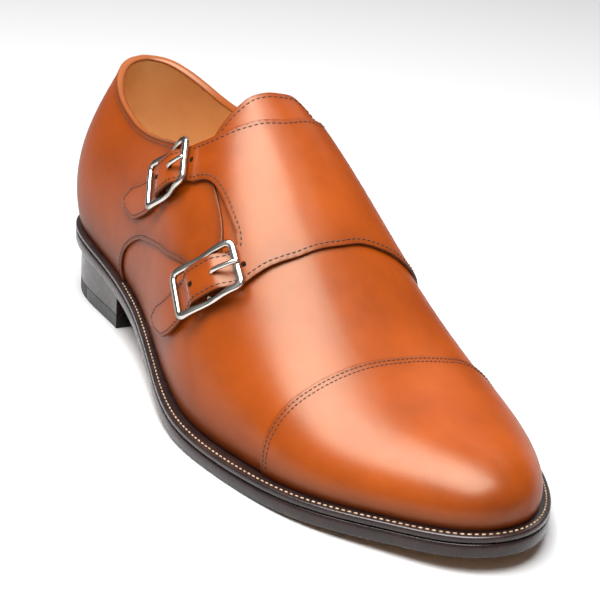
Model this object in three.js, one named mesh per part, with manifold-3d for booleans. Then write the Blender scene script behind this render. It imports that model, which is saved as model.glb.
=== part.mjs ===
// Double monk strap shoe for the right foot, size EU 42, standing empty on its sole.
// Frame: +X towards the toe, +Y towards the inner (big toe) side, +Z up, floor at z = 0, millimetres.
import * as THREE from "three";
import { mergeVertices } from "three/addons/utils/BufferGeometryUtils.js";
import Module from "manifold-3d";

const wasm = await Module();
wasm.setup();

// ---- materials -------------------------------------------------------------------------------

const FINISHES = {
  calf: { color: 0xb4571c, roughness: 0.38, metalness: 0 },
  calfDark: { color: 0x9c4817, roughness: 0.42, metalness: 0 },
  lining: { color: 0xcf9057, roughness: 0.7, metalness: 0 },
  soleLeather: { color: 0xc98a48, roughness: 0.5, metalness: 0 },
  edge: { color: 0x2e1b16, roughness: 0.45, metalness: 0 },
  rubber: { color: 0x161616, roughness: 0.8, metalness: 0 },
  nickel: { color: 0xb9b9b6, roughness: 0.22, metalness: 1 },
};

const shoe = new THREE.Group();
shoe.name = "monk_strap_shoe";

function addPart(name, geometry, finish) {
  const mesh = new THREE.Mesh(geometry, new THREE.MeshStandardMaterial(FINISHES[finish]));
  mesh.name = name;
  shoe.add(mesh);
}

// ---- the last: the shape of the foot the shoe is made over ------------------------------------

// One row a section, from the back of the heel to the tip of the toe. Out is the outer side of
// the foot, In the inner side. The feather line is the lower edge of the upper, the ridge its
// highest line. bulge is how far a section swells past the feather line, rise how high that
// swelling is carried, lean how far the section leans in at the ridge, dip how far it falls there.
const SECTION_COLUMNS = [
  "xOut", "yOut", "xIn", "yIn", "zFeather", "xRidge", "yRidge", "zRidge",
  "bulgeOut", "bulgeIn", "riseOut", "riseIn", "leanOut", "leanIn", "dip",
];
const SECTIONS = {
  heelBack: [-149, 0, -149, 0, 31.5, -131, 0, 136, 11.5, 11.5, 0.42, 0.42, 0.3, 0.3, 0.42],
  heelRound: [-143, -26, -143, 21, 31.5, -124, 0, 136, 11.5, 11.5, 0.44, 0.42, 0.3, 0.3, 0.38],
  heelSide: [-120, -36, -120, 30, 31, -106, 0, 136, 10, 10, 0.37, 0.38, 0.35, 0.35, 0.38],
  heelFront: [-86, -34, -86, 29.5, 26.5, -82, 0, 136, 9, 8.5, 0.36, 0.36, 0.42, 0.42, 0.34],
  waist: [-49, -37, -49, 26, 21, -60, 0, 134, 10, 10, 0.34, 0.37, 0.5, 0.5, 0.21],
  instep: [-12, -46, -14, 35, 14, -28.5, 0, 124, 9.5, 14, 0.34, 0.42, 0.55, 0.6, 0.05],
  jointBack: [24.5, -54, 20, 43.5, 8, 9, 0, 99.5, 7.5, 9, 0.36, 0.38, 0.55, 0.56, 0.02],
  ball: [59, -48, 55, 50, 7.5, 46, 0.3, 64, 7, 5, 0.45, 0.45, 0.57, 0.55, 0],
  toeBox: [94, -41, 92, 49, 9, 80.5, 2.2, 39.5, 6, 5, 0.53, 0.55, 0.58, 0.58, 0],
  shoulder: [122, -22, 121, 37, 11.5, 109, 5, 35.3, 4.5, 3.5, 0.55, 0.55, 0.55, 0.55, 0],
  toeRound: [142, -9, 141, 22.5, 13.5, 126.5, 7, 33.5, 4, 3.5, 0.6, 0.6, 0.55, 0.55, 0],
  toeTip: [148, 8, 148, 8, 14.5, 132.5, 8, 32, 4, 4, 0.62, 0.62, 0.55, 0.55, 0],
};
const LAST_SECTION = Object.keys(SECTIONS).length - 1;

// The column as a list, lengthened at both ends by the row its mirror column has next, so a
// curve round the heel or the toe goes on smoothly from the outer side to the inner side.
function column(name) {
  const rows = Object.values(SECTIONS);
  const at = (key, row) => rows[row][SECTION_COLUMNS.indexOf(key)];
  const mirror = name.endsWith("Out")
    ? name.replace("Out", "In")
    : name.endsWith("In") ? name.replace("In", "Out") : name;
  return [at(mirror, 1), ...rows.map((_, i) => at(name, i)), at(mirror, LAST_SECTION - 1)];
}
const COLUMNS = Object.fromEntries(SECTION_COLUMNS.map((name) => [name, column(name)]));

// Uniform cubic B-spline over the sections; s counts sections from the heel.
function along(name, s) {
  const v = COLUMNS[name];
  const i = Math.min(Math.max(Math.floor(s), 0), LAST_SECTION - 1);
  const f = s - i;
  return (
    ((1 - f) ** 3 * v[i] + (3 * f ** 3 - 6 * f * f + 4) * v[i + 1] +
      (-3 * f ** 3 + 3 * f * f + 3 * f + 1) * v[i + 2] + f ** 3 * v[i + 3]) / 6
  );
}

const SLOPE_STEP = 0.001;

function ridgeSlope(s) {
  const a = Math.max(s - SLOPE_STEP, 0);
  const b = Math.min(s + SLOPE_STEP, LAST_SECTION);
  return (along("zRidge", b) - along("zRidge", a)) / (along("xRidge", b) - along("xRidge", a));
}

// Point of one side of the last at a share of the way from the ridge down to the feather line.
function ribPoint(s, down, side) {
  const feather = new THREE.Vector3(along("x" + side, s), along("y" + side, s), along("zFeather", s));
  const ridge = new THREE.Vector3(along("xRidge", s), along("yRidge", s), along("zRidge", s));
  const width = Math.hypot(feather.x - ridge.x, feather.y - ridge.y);
  const ux = (feather.x - ridge.x) / width;
  const uy = (feather.y - ridge.y) / width;
  const height = ridge.z - feather.z;
  const bulge = along("bulge" + side, s);
  const reach = along("lean" + side, s) * width;
  const dip = along("dip", s);
  const low = new THREE.Vector3(
    feather.x + ux * bulge, feather.y + uy * bulge, feather.z + along("rise" + side, s) * height);
  const high = new THREE.Vector3(
    ridge.x + ux * reach, ridge.y + uy * reach,
    ridge.z - dip * height + ridgeSlope(s) * ux * reach * (1 - Math.min(1, dip / 0.1)));
  return new THREE.CubicBezierCurve3(feather, low, high, ridge).getPoint(1 - down);
}

// Point of the last: s along the foot, g round it (-1 outer feather line, 0 ridge, 1 inner). The two
// sides run into each other over a narrow strip, so the ridge is round and not a fold.
const RIDGE_ROUND = 0.14;

function lastPoint(s, g) {
  const R = RIDGE_ROUND;
  if (Math.abs(g) >= R) return ribPoint(s, Math.abs(g), g < 0 ? "Out" : "In");
  const down = (g * g + R * R) / (2 * R), share = (g + R) / (2 * R);
  return ribPoint(s, down, "Out").lerp(ribPoint(s, down, "In"), share * share * (3 - 2 * share));
}

function sideNormal(place, g) {
  const h = 0.002;
  const s = Math.min(Math.max(place, 0.02), LAST_SECTION - 0.02);
  const at = (a, b) => lastPoint(Math.min(Math.max(a, 0), LAST_SECTION), Math.min(Math.max(b, -1), 1));
  const ds = at(s + h, g).sub(at(s - h, g));
  const dg = at(s, g + h).sub(at(s, g - h));
  return ds.cross(dg).normalize();
}

function lastNormal(s, g) {
  if (s > 0 && s < LAST_SECTION) return sideNormal(s, g);
  return sideNormal(s, g).add(sideNormal(s, -g)).normalize();
}

// Point at a distance off the last, outwards.
function offLast(s, g, distance) {
  return lastPoint(s, g).addScaledVector(lastNormal(s, g), distance);
}

// ---- panels of leather laid over the last -----------------------------------------------------

// Rough millimetres of one unit of s and of g, used to measure distances on the last.
const S_MM = 26;
const G_MM = 75;

// Closed smooth outline through corner points [s, g], as a signed distance (inside positive).
function outlineRegion(corners) {
  const curve = new THREE.CatmullRomCurve3(
    corners.map(([s, g]) => new THREE.Vector3(s * S_MM, g * G_MM, 0)), true, "centripetal");
  const ring = curve.getPoints(corners.length * 6);
  return (s, g) => {
    const x = s * S_MM, y = g * G_MM;
    let nearest = Infinity, inside = false;
    for (let i = 0; i + 1 < ring.length; i++) {
      const a = ring[i], b = ring[i + 1];
      const dx = b.x - a.x, dy = b.y - a.y;
      const t = Math.min(Math.max(((x - a.x) * dx + (y - a.y) * dy) / (dx * dx + dy * dy + 1e-12), 0), 1);
      nearest = Math.min(nearest, Math.hypot(x - a.x - t * dx, y - a.y - t * dy));
      if (a.y > y !== b.y > y && x < a.x + ((y - a.y) / (b.y - a.y)) * (b.x - a.x)) inside = !inside;
    }
    return inside ? nearest : -nearest;
  };
}

const COARSE = [44, 28]; // cells along s and g
const FINE = [66, 48];
const SNAP = 0.15;

// Overlays stop a little above the welt.
const HEM = 0.975;
const aboveWelt = (region) => (s, g) => Math.min(region(s, g), (HEM - Math.abs(g)) * G_MM);

// A sheet of leather covering the part of the last where region(s, g) is positive, between two
// distances off the last, as one closed geometry.
function sheet(region, under, over, [cellsS, cellsG] = COARSE) {
  const nodes = [];
  for (let i = 0; i <= cellsS; i++)
    for (let j = 0; j <= cellsG; j++) {
      const s = (i / cellsS) * LAST_SECTION, g = (j / cellsG) * 2 - 1;
      nodes.push({ s, g, value: region(s, g) });
    }
  const id = (i, j) => i * (cellsG + 1) + j;
  const triangles = [];
  for (let i = 0; i < cellsS; i++)
    for (let j = 0; j < cellsG; j++) {
      const [a, b, c, d] = [id(i, j), id(i + 1, j), id(i + 1, j + 1), id(i, j + 1)];
      if ((i < cellsS / 2) === (j < cellsG / 2)) triangles.push([a, b, c], [a, c, d]);
      else triangles.push([a, b, d], [b, c, d]);
    }
  const crossing = (p, q) => {
    let lo = 0, hi = 1;
    for (let n = 0; n < 24; n++) {
      const mid = (lo + hi) / 2;
      const value = region(p.s + (q.s - p.s) * mid, p.g + (q.g - p.g) * mid);
      if (value > 0 === p.value > 0) lo = mid;
      else hi = mid;
    }
    return (lo + hi) / 2;
  };
  snapNodes(nodes, triangles, crossing);
  return closedSheet(nodes, cutTriangles(nodes, triangles, crossing), under, over);
}

// Nodes very near the outline are moved onto it, so no sliver triangles are left.
function snapNodes(nodes, triangles, crossing) {
  const moves = new Map();
  for (const tri of triangles)
    for (let k = 0; k < 3; k++) {
      const p = nodes[tri[k]], q = nodes[tri[(k + 1) % 3]];
      if (p.value > 0 === q.value > 0) continue;
      const t = crossing(p, q);
      const near = t < SNAP ? tri[k] : t > 1 - SNAP ? tri[(k + 1) % 3] : -1;
      if (near >= 0 && !moves.has(near))
        moves.set(near, { s: p.s + (q.s - p.s) * t, g: p.g + (q.g - p.g) * t });
    }
  for (const [index, place] of moves) {
    const onEnd = nodes[index].s === 0 || nodes[index].s === LAST_SECTION;
    nodes[index] = { s: onEnd ? nodes[index].s : place.s, g: place.g, value: 0 };
  }
}

function cutTriangles(nodes, triangles, crossing) {
  const cuts = new Map();
  const cut = (a, b) => {
    const key = Math.min(a, b) + "_" + Math.max(a, b);
    if (!cuts.has(key)) {
      const p = nodes[Math.min(a, b)], q = nodes[Math.max(a, b)];
      const t = crossing(p, q);
      nodes.push({ s: p.s + (q.s - p.s) * t, g: p.g + (q.g - p.g) * t, value: 0 });
      cuts.set(key, nodes.length - 1);
    }
    return cuts.get(key);
  };
  const kept = [];
  for (const tri of triangles) {
    const polygon = [];
    for (let k = 0; k < 3; k++) {
      const a = tri[k], b = tri[(k + 1) % 3];
      if (nodes[a].value >= 0) polygon.push(a);
      if (nodes[a].value * nodes[b].value < 0) polygon.push(cut(a, b));
    }
    if (!tri.some((n) => nodes[n].value > 0)) continue;
    for (let k = 2; k < polygon.length; k++) kept.push([polygon[0], polygon[k - 1], polygon[k]]);
  }
  return kept;
}

const MERGE_MM = 0.002;

function closedSheet(nodes, triangles, under, over) {
  const key = (v) => [v.x, v.y, v.z].map((c) => Math.round(c / MERGE_MM)).join(",");
  const points = [], index = new Map(), alias = new Map();
  const vertexOf = (n) => {
    if (!alias.has(n)) {
      const { s, g } = nodes[n];
      const k = key(lastPoint(s, g));
      if (!index.has(k)) {
        index.set(k, points.length);
        points.push([offLast(s, g, over(s, g)), offLast(s, g, under(s, g))]);
      }
      alias.set(n, index.get(k));
    }
    return alias.get(n);
  };
  const faces = triangles.map((t) => t.map(vertexOf)).filter(([a, b, c]) => a !== b && b !== c && c !== a);
  const edges = new Map();
  for (const [a, b, c] of faces)
    for (const [p, q] of [[a, b], [b, c], [c, a]])
      if (edges.has(q + "_" + p)) edges.delete(q + "_" + p);
      else edges.set(p + "_" + q, [p, q]);
  const count = points.length;
  const triangleIndex = [];
  for (const [a, b, c] of faces) triangleIndex.push(a, b, c, c + count, b + count, a + count);
  for (const [p, q] of edges.values()) triangleIndex.push(q, p, p + count, q, p + count, q + count);
  const position = [...points.map((p) => p[0]), ...points.map((p) => p[1])].flatMap((v) => v.toArray());
  return new THREE.BufferGeometry()
    .setAttribute("position", new THREE.Float32BufferAttribute(position, 3))
    .setIndex(triangleIndex);
}

// ---- joining and cutting ----------------------------------------------------------------------

function solidOf(geometry) {
  const bare = new THREE.BufferGeometry().setAttribute("position", geometry.getAttribute("position"));
  if (geometry.index) bare.setIndex(geometry.index);
  const merged = mergeVertices(bare, 1e-4);
  return new wasm.Manifold(new wasm.Mesh({
    numProp: 3,
    vertProperties: merged.attributes.position.array,
    triVerts: new Uint32Array(merged.index.array),
  }));
}

function geometryOf(solid) {
  const { numProp, numVert, vertProperties, triVerts } = solid.getMesh();
  const position = new Float32Array(numVert * 3);
  for (let i = 0; i < numVert; i++)
    position.set(vertProperties.subarray(i * numProp, i * numProp + 3), i * 3);
  return new THREE.BufferGeometry()
    .setAttribute("position", new THREE.BufferAttribute(position, 3))
    .setIndex(new THREE.BufferAttribute(new Uint32Array(triVerts), 1));
}

// Upright block that fills one side of a line through a point, turned about that point.
function sideBlock(x, y, turn, towards, [length, width, height] = [200, 200, 80]) {
  return solidOf(new THREE.BoxGeometry(length, width, height)
    .translate((towards * length) / 2, 0, height / 2 - 10).rotateZ(turn).translate(x, y, 0));
}

// ---- sole, welt and heel ----------------------------------------------------------------------

// How far the edge of the welt stands out past the feather line, section by section.
const WELT_REACH = {
  heelBack: 2.8, heelRound: 3, heelSide: 3.4, heelFront: 3.4, waist: 3.3, instep: 3.8,
  jointBack: 5, ball: 5.6, toeBox: 5.2, shoulder: 4.7, toeRound: 4.6, toeTip: 4.6,
};
const GAP = 0.3;
const SOLE_DEPTH = 8.1; // feather line to the underside of the sole
const SOLE_THICK = 5.2;
const WALL = 1.8;

function weltReach(s) {
  const reach = Object.values(WELT_REACH);
  const i = Math.min(Math.floor(s), LAST_SECTION - 1);
  return reach[i] + (reach[i + 1] - reach[i]) * (s - i);
}

// Point of an outline that stands the given distance out from the feather line.
function edgePoint(s, side, reach) {
  const h = 0.01;
  const name = side < 0 ? "Out" : "In";
  const at = (k) => new THREE.Vector2(along("x" + name, k), along("y" + name, k));
  const back = at(Math.max(s - h, 0)), front = at(Math.min(s + h, LAST_SECTION));
  const run = front.sub(back).normalize();
  const normal = new THREE.Vector2(run.y, -run.x).multiplyScalar(-side);
  if (s === 0) normal.set(-1, 0);
  if (s === LAST_SECTION) normal.set(1, 0);
  return at(s).addScaledVector(normal, reach);
}

const soleUnder = (s) => Math.max(0, along("zFeather", s) - SOLE_DEPTH);
const soleOver = (s) => along("zFeather", s) - SOLE_DEPTH + SOLE_THICK;

// Flat plate across the shoe from edge to edge between two heights.
function plate(reach, low, high, { from = 0, to = LAST_SECTION, rows = 66, across = 6 } = {}) {
  const position = [], index = [];
  const width = across + 1;
  for (const height of [high, low])
    for (let i = 0; i <= rows; i++) {
      const s = from + ((to - from) * i) / rows;
      const out = edgePoint(s, -1, reach(s)), inner = edgePoint(s, 1, reach(s));
      for (let j = 0; j <= across; j++) {
        const p = out.clone().lerp(inner, j / across);
        position.push(p.x, p.y, height(s, j / across));
      }
    }
  const lower = (rows + 1) * width;
  for (let i = 0; i < rows; i++)
    for (let j = 0; j < across; j++) {
      const [a, b, c, d] = [i * width + j, (i + 1) * width + j, (i + 1) * width + j + 1, i * width + j + 1];
      index.push(a, b, c, a, c, d, a + lower, c + lower, b + lower, a + lower, d + lower, c + lower);
    }
  const wall = (p, q) => index.push(p, p + lower, q + lower, p, q + lower, q);
  for (let i = 0; i < rows; i++) {
    wall(i * width, (i + 1) * width);
    wall((i + 1) * width + across, i * width + across);
  }
  for (let j = 0; j < across; j++) {
    wall(j + 1, j);
    wall(rows * width + j, rows * width + j + 1);
  }
  return tidy(position, index);
}

// Merges points that fall together and drops the triangles that lose their area by it.
function tidy(position, index) {
  const merged = mergeVertices(new THREE.BufferGeometry()
    .setAttribute("position", new THREE.Float32BufferAttribute(position, 3))
    .setIndex(index), 1e-3);
  const kept = [];
  const list = merged.index.array;
  for (let i = 0; i < list.length; i += 3) {
    const [a, b, c] = [list[i], list[i + 1], list[i + 2]];
    if (a !== b && b !== c && c !== a) kept.push(a, b, c);
  }
  return merged.setIndex(kept);
}

// Band that runs right round the shoe between an inner and an outer edge.
function band(inner, outer, low, high, rows = 66) {
  const stops = [];
  for (let i = 0; i < rows; i++) stops.push([(i / rows) * LAST_SECTION, -1]);
  for (let i = rows; i > 0; i--) stops.push([(i / rows) * LAST_SECTION, 1]);
  const position = [], index = [];
  for (const [s, side] of stops) {
    const a = edgePoint(s, side, outer(s)), b = edgePoint(s, side, inner(s));
    position.push(a.x, a.y, low(s), a.x, a.y, high(s), b.x, b.y, high(s), b.x, b.y, low(s));
  }
  for (let i = 0; i < stops.length; i++)
    for (let k = 0; k < 4; k++) {
      const p = i * 4 + k, q = i * 4 + ((k + 1) % 4);
      const next = ((i + 1) % stops.length) * 4 - i * 4;
      index.push(p, p + next, q + next, p, q + next, q);
    }
  return tidy(position, index);
}

const outsole = plate(weltReach, soleUnder, soleOver);
addPart("outsole", outsole, "soleLeather");
addPart("welt", band((s) => -WALL - 0.4, weltReach, (s) => soleOver(s) + GAP,
  (s) => along("zFeather", s) - GAP), "edge");
addPart("insole", plate(() => -WALL - 0.8, (s) => soleOver(s) + GAP,
  (s) => along("zFeather", s) + 0.8, { rows: 44, across: 4 }), "lining");

// The heel: leather lifts under the seat of the sole, a leather top piece and a rubber tip.
const HEEL = {
  breast: -79, // front face
  topPiece: 6,
  tipJoint: -121,
  tipTurn: 0.2,
  corner: [-79, 22], // where the cut off the inner front corner meets the breast
  cornerTurn: 0.95,
  taper: 2.6, // how far the block stands in from the edge of the sole
};

function heelBlock(low, high) {
  const block = solidOf(plate((s) => weltReach(s) - HEEL.taper, low, high, { to: 4.2, rows: 30, across: 4 }));
  return block.subtract(sideBlock(HEEL.breast, 0, 0, 1))
    .subtract(sideBlock(...HEEL.corner, HEEL.cornerTurn, 1, [20, 60, 80]));
}

const heelStack = heelBlock(() => HEEL.topPiece + GAP, (s) => soleUnder(s) - GAP);
const heelFoot = heelBlock(() => 0, () => HEEL.topPiece);
const tipSide = sideBlock(HEEL.tipJoint, 0, HEEL.tipTurn, -1);
const leatherSide = sideBlock(HEEL.tipJoint + GAP, 0, HEEL.tipTurn, 1);
addPart("heel_stack", geometryOf(heelStack), "edge");
addPart("heel_top_piece", geometryOf(heelFoot.intersect(leatherSide)), "soleLeather");
addPart("heel_rubber_tip", geometryOf(heelFoot.intersect(tipSide)), "rubber");

// ---- upper ------------------------------------------------------------------------------------

// Edge of the opening for the foot, back of the heel to the throat under the flap.
const OPENING = [
  [-1.2, 0.335], [0, 0.34], [0.8, 0.36], [1.6, 0.4], [2.4, 0.445], [3.1, 0.46], [3.8, 0.45],
  [4.5, 0.4], [5.1, 0.35], [5.6, 0.31], [5.85, 0.2], [5.95, 0], [5.85, -0.2], [5.6, -0.33],
  [5.1, -0.385], [4.5, -0.42], [3.8, -0.46], [3.1, -0.475], [2.4, -0.45], [1.6, -0.405],
  [0.8, -0.36], [0, -0.34], [-1.2, -0.335],
];
const opening = outlineRegion(OPENING);
addPart("upper", sheet((s, g) => -opening(s, g), () => -WALL, () => 0), "calf");

const PANEL = 1.2;
const TONGUE_TOP = [
  [5.03, -0.33], [5.04, -0.26], [5.12, -0.15], [5.2, -0.04], [5.22, 0.05], [5.17, 0.15], [5.14, 0.24],
  [5.2, 0.29], [5.6, 0.3], [7, 0.3], [7, -0.34], [5.6, -0.36], [5.1, -0.35],
];
const tongue = outlineRegion(TONGUE_TOP);
addPart("tongue", sheet((s, g) => Math.min(opening(s, g) - 0.4, tongue(s, g)),
  () => -1.9, () => -0.3), "calf");

const CAP_LINE = [
  [7.44, -1.4], [7.44, -1], [7.45, -0.75], [7.5, -0.58], [7.6, -0.4], [7.71, -0.22], [7.81, -0.06],
  [7.83, 0.06], [7.75, 0.24], [7.62, 0.42], [7.56, 0.6], [7.52, 0.8], [7.5, 1], [7.5, 1.4], [13, 1.4],
  [13, -1.4],
];
addPart("toe_cap", sheet(aboveWelt(outlineRegion(CAP_LINE)), () => GAP, () => GAP + 1), "calf");

const QUARTER_OUTER = [
  [-1.2, -1.4], [-1.2, -0.335], [0, -0.34], [0.8, -0.36], [1.6, -0.405], [2.4, -0.45], [3.1, -0.475],
  [3.8, -0.46], [4.5, -0.42], [5.1, -0.385], [5.6, -0.39], [5.9, -0.43], [6, -0.5], [5.85, -0.57],
  [5.5, -0.6], [5.05, -0.655], [4.5, -0.705], [3.95, -0.765], [3.55, -0.86], [3.4, -0.95], [3.42, -1.05],
  [3.4, -1.4],
];
const quarterOuter = outlineRegion(QUARTER_OUTER);
const QUARTER_TOP = GAP + PANEL - 0.2;
addPart("quarter_outer", sheet(aboveWelt(quarterOuter), () => GAP, () => QUARTER_TOP, FINE), "calfDark");

// ---- buckles ----------------------------------------------------------------------------------

// centre: place on the last; turn: how far the strap swings from the length of the foot, in radians;
// tip: how far its point lies behind the centre; straightTo: where it starts to curve aside;
// bend: how far it has curved at its point.
const BUCKLES = {
  upper: { centre: [4.58, -0.502], turn: 0.876, tip: 46, straightTo: 8, bend: 10 },
  lower: { centre: [6, -0.543], turn: 1.313, tip: 42, straightTo: 18, bend: 11 },
};
const FRAME = {
  halfLong: 12.9, halfHigh: 8.9, corner: 2.2, wire: 1.25, bar: 0.9, barHeight: 2.8, centreHeight: 3,
  endHeight: 5,
};

// Flat working plane of a buckle: w along the strap towards the flap, v across it;
// turn is how far w swings from the length of the foot, in radians.
function buckleGround({ centre: [s0, g0], turn }) {
  const origin = lastPoint(s0, g0), normal = lastNormal(s0, g0);
  const ahead = lastPoint(s0 + 0.01, g0).sub(origin);
  ahead.addScaledVector(normal, -ahead.dot(normal)).normalize();
  const w = ahead.clone().multiplyScalar(Math.cos(turn))
    .addScaledVector(normal.clone().cross(ahead), Math.sin(turn));
  const v = normal.clone().cross(w);
  const flat = (p) => [p.clone().sub(origin).dot(w), p.clone().sub(origin).dot(v)];
  const place = (wantW, wantV) => {
    let [s, g] = [s0, g0];
    for (let n = 0; n < 8; n++) {
      const p = flat(lastPoint(s, g)), h = 0.001;
      const ps = flat(lastPoint(s + h, g)), pg = flat(lastPoint(s, g + h));
      const [a, b, c, d] = [(ps[0] - p[0]) / h, (pg[0] - p[0]) / h, (ps[1] - p[1]) / h, (pg[1] - p[1]) / h];
      const det = a * d - b * c, ew = wantW - p[0], ev = wantV - p[1];
      s += (d * ew - b * ev) / det;
      g += (a * ev - c * ew) / det;
    }
    return [s, g];
  };
  return {
    flat: (s, g) => flat(lastPoint(s, g)),
    at: (wantW, wantV, height) => offLast(...place(wantW, wantV), height),
    normalAt: (wantW, wantV) => lastNormal(...place(wantW, wantV)),
  };
}
const grounds = Object.fromEntries(Object.entries(BUCKLES).map(([k, b]) => [k, buckleGround(b)]));

// Round bar along points, each with its own "up"; closed on itself or capped.
function rod(points, ups, radius, closed, sides = 10) {
  const position = [], index = [], count = points.length;
  points.forEach((p, i) => {
    const before = points[closed ? (i + count - 1) % count : Math.max(i - 1, 0)];
    const after = points[closed ? (i + 1) % count : Math.min(i + 1, count - 1)];
    const run = after.clone().sub(before).normalize();
    const out = run.clone().cross(ups[i]).normalize();
    const up = out.clone().cross(run);
    for (let k = 0; k < sides; k++) {
      const turn = (2 * Math.PI * k) / sides;
      const q = p.clone().addScaledVector(out, Math.cos(turn) * radius)
        .addScaledVector(up, -Math.sin(turn) * radius);
      position.push(q.x, q.y, q.z);
    }
  });
  const spans = closed ? count : count - 1;
  for (let i = 0; i < spans; i++)
    for (let k = 0; k < sides; k++) {
      const a = i * sides + k, b = i * sides + ((k + 1) % sides);
      const c = ((i + 1) % count) * sides + k, d = ((i + 1) % count) * sides + ((k + 1) % sides);
      index.push(a, b, d, a, d, c);
    }
  if (!closed)
    for (let k = 1; k + 1 < sides; k++) {
      index.push(0, k + 1, k);
      const e = (count - 1) * sides;
      index.push(e, e + k, e + k + 1);
    }
  return tidy(position, index);
}

function frameHeight(w) {
  const t = Math.min(Math.abs(w) / (FRAME.halfLong - 1.5), 1);
  return FRAME.centreHeight + (FRAME.endHeight - FRAME.centreHeight) * t * t * (3 - 2 * t);
}

function buckleFrame(ground) {
  const loop = [];
  const { halfLong: L, halfHigh: H, corner: R } = FRAME;
  const corners = [[L - R, H - R, 0], [R - L, H - R, 1], [R - L, R - H, 2], [L - R, R - H, 3]];
  for (const [w, v, quarter] of corners)
    for (let k = 0; k <= 4; k++) {
      const turn = ((quarter + k / 4) * Math.PI) / 2;
      loop.push([w + R * Math.cos(turn), v + R * Math.sin(turn)]);
    }
  const even = [];
  loop.forEach(([w, v], i) => {
    const [w2, v2] = loop[(i + 1) % loop.length];
    const steps = Math.max(1, Math.round(Math.hypot(w2 - w, v2 - v) / 3));
    for (let k = 0; k < steps; k++) even.push([w + ((w2 - w) * k) / steps, v + ((v2 - v) * k) / steps]);
  });
  const points = even.map(([w, v]) => ground.at(w, v, frameHeight(w)));
  const ups = even.map(([w, v]) => ground.normalAt(w, v));
  const ring = solidOf(rod(points, ups, FRAME.wire, true));
  const reach = [-1, -0.5, 0, 0.5, 1].map((k) => k * (H - 0.2));
  const bar = solidOf(rod(reach.map((v) => ground.at(0, v, FRAME.barHeight)),
    reach.map((v) => ground.normalAt(0, v)), FRAME.bar, false));
  return geometryOf(ring.add(bar));
}

// Hump of a strap over the bar: its height, its reach each way and how steeply it rises.
const HUMP = { height: 3.4, reach: 12, steep: 1.5 };
// The prong's path from the bar through the strap to the near end of the frame: [w, height] a point.
const PRONG = {
  radius: 0.8, hole: 1.6, holeAt: 0.9,
  path: [[0.5, 4.9], [0.8, 6.6], [2, 7.7], [5, 7.9], [10, 7.6], [13.8, 7.4]],
};

function buckleProng(ground) {
  const points = PRONG.path.map(([w, h]) => ground.at(w, 0, h));
  return rod(points, PRONG.path.map(([w]) => ground.normalAt(w, 0)), PRONG.radius, false, 8);
}

// ---- inner quarter with its flap and the two straps -------------------------------------------

const FLAP = [
  [-1.2, 1.4], [-1.2, 0.335], [0, 0.34], [0.8, 0.36], [1.6, 0.4], [2.4, 0.445], [3.1, 0.46],
  [3.8, 0.45], [4.5, 0.395], [5.05, 0.31], [5.35, 0.22], [5.52, 0.1], [5.56, -0.03],
  [5.42, -0.152], [5.17, -0.282], [5.02, -0.335], [4.86, -0.378], [4.73, -0.412], [4.8, -0.447],
  [4.93, -0.467], [5.03, -0.455], [5.14, -0.438], [5.22, -0.418], [5.35, -0.39], [5.48, -0.374],
  [5.69, -0.367], [5.9, -0.371], [6.05, -0.378], [6.11, -0.395], [6.08, -0.425], [6.2, -0.462],
  [6.34, -0.46], [6.41, -0.43], [6.45, -0.388], [6.51, -0.32], [6.58, -0.254], [6.66, -0.17],
  [6.73, 0], [6.7, 0.12], [6.63, 0.27], [6.5, 0.45], [6.25, 0.62], [5.9, 0.78], [5.5, 0.9],
  [5.2, 1.0], [5.1, 1.4],
];
const flapBody = outlineRegion(FLAP);
const STRAP = { halfWidth: 6.9, tipHalf: 7.5, root: 13, point: 2, taper: 1.9 };
const smooth = (t) => { const k = Math.min(Math.max(t, 0), 1); return k * k * (3 - 2 * k); };

// A strap runs back from the flap through its buckle, curves towards the heel and ends in a point.
function strap(ground, { tip, straightTo, bend }) {
  return (s, g) => {
    if (g > -0.2 || s < 2 || s > 7) return -10;
    const [w, v] = ground.flat(s, g);
    const middle = bend * (Math.max(-w - straightTo, 0) / (tip - straightTo)) ** 2;
    const aside = Math.abs(v - middle);
    const half = STRAP.halfWidth + (STRAP.tipHalf - STRAP.halfWidth) * smooth((-w - 12) / 10);
    const end = w + tip - STRAP.taper * Math.max(aside - STRAP.point, 0);
    return Math.min(half - aside, end, STRAP.root - w);
  };
}
const straps = Object.entries(grounds).map(([which, ground]) => strap(ground, BUCKLES[which]));
const flap = (s, g) => Math.max(flapBody(s, g), ...straps.map((region) => region(s, g)));

// The flap lies on the vamp and climbs over the outer quarter; at a buckle it humps over the bar.
function flapUnder(s, g) {
  const climb = g < 0 ? QUARTER_TOP * smooth((quarterOuter(s, g) + 30) / 28) : 0;
  let hump = 0;
  for (const ground of Object.values(grounds)) {
    const [w, v] = ground.flat(s, g);
    if (g > -0.2 || Math.abs(v) > 14) continue;
    hump = Math.max(hump, HUMP.height * smooth((1 - Math.abs(w) / HUMP.reach) * HUMP.steep));
  }
  return GAP + climb + hump;
}

let flapSolid = solidOf(sheet(aboveWelt(flap), flapUnder, (s, g) => flapUnder(s, g) + PANEL, FINE));
for (const ground of Object.values(grounds)) {
  const axis = [0.8, 9].map((h) => ground.at(PRONG.holeAt, 0, h));
  const sideways = ground.at(5, 0, 0).sub(ground.at(0, 0, 0));
  const hole = solidOf(rod(axis, [sideways, sideways], PRONG.hole, false, 10));
  flapSolid = flapSolid.subtract(hole);
}
addPart("quarter_inner_flap", geometryOf(flapSolid), "calf");
for (const [which, ground] of Object.entries(grounds)) {
  addPart("buckle_frame_" + which, buckleFrame(ground), "nickel");
  addPart("buckle_prong_" + which, buckleProng(ground), "nickel");
}

// The origin is the middle of the shoe's box, on the floor.
shoe.position.set(0.54, 1.03, 0);

export default shoe;
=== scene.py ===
import math

import bmesh
import bpy
import numpy as np
from mathutils import Matrix, Vector


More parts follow.
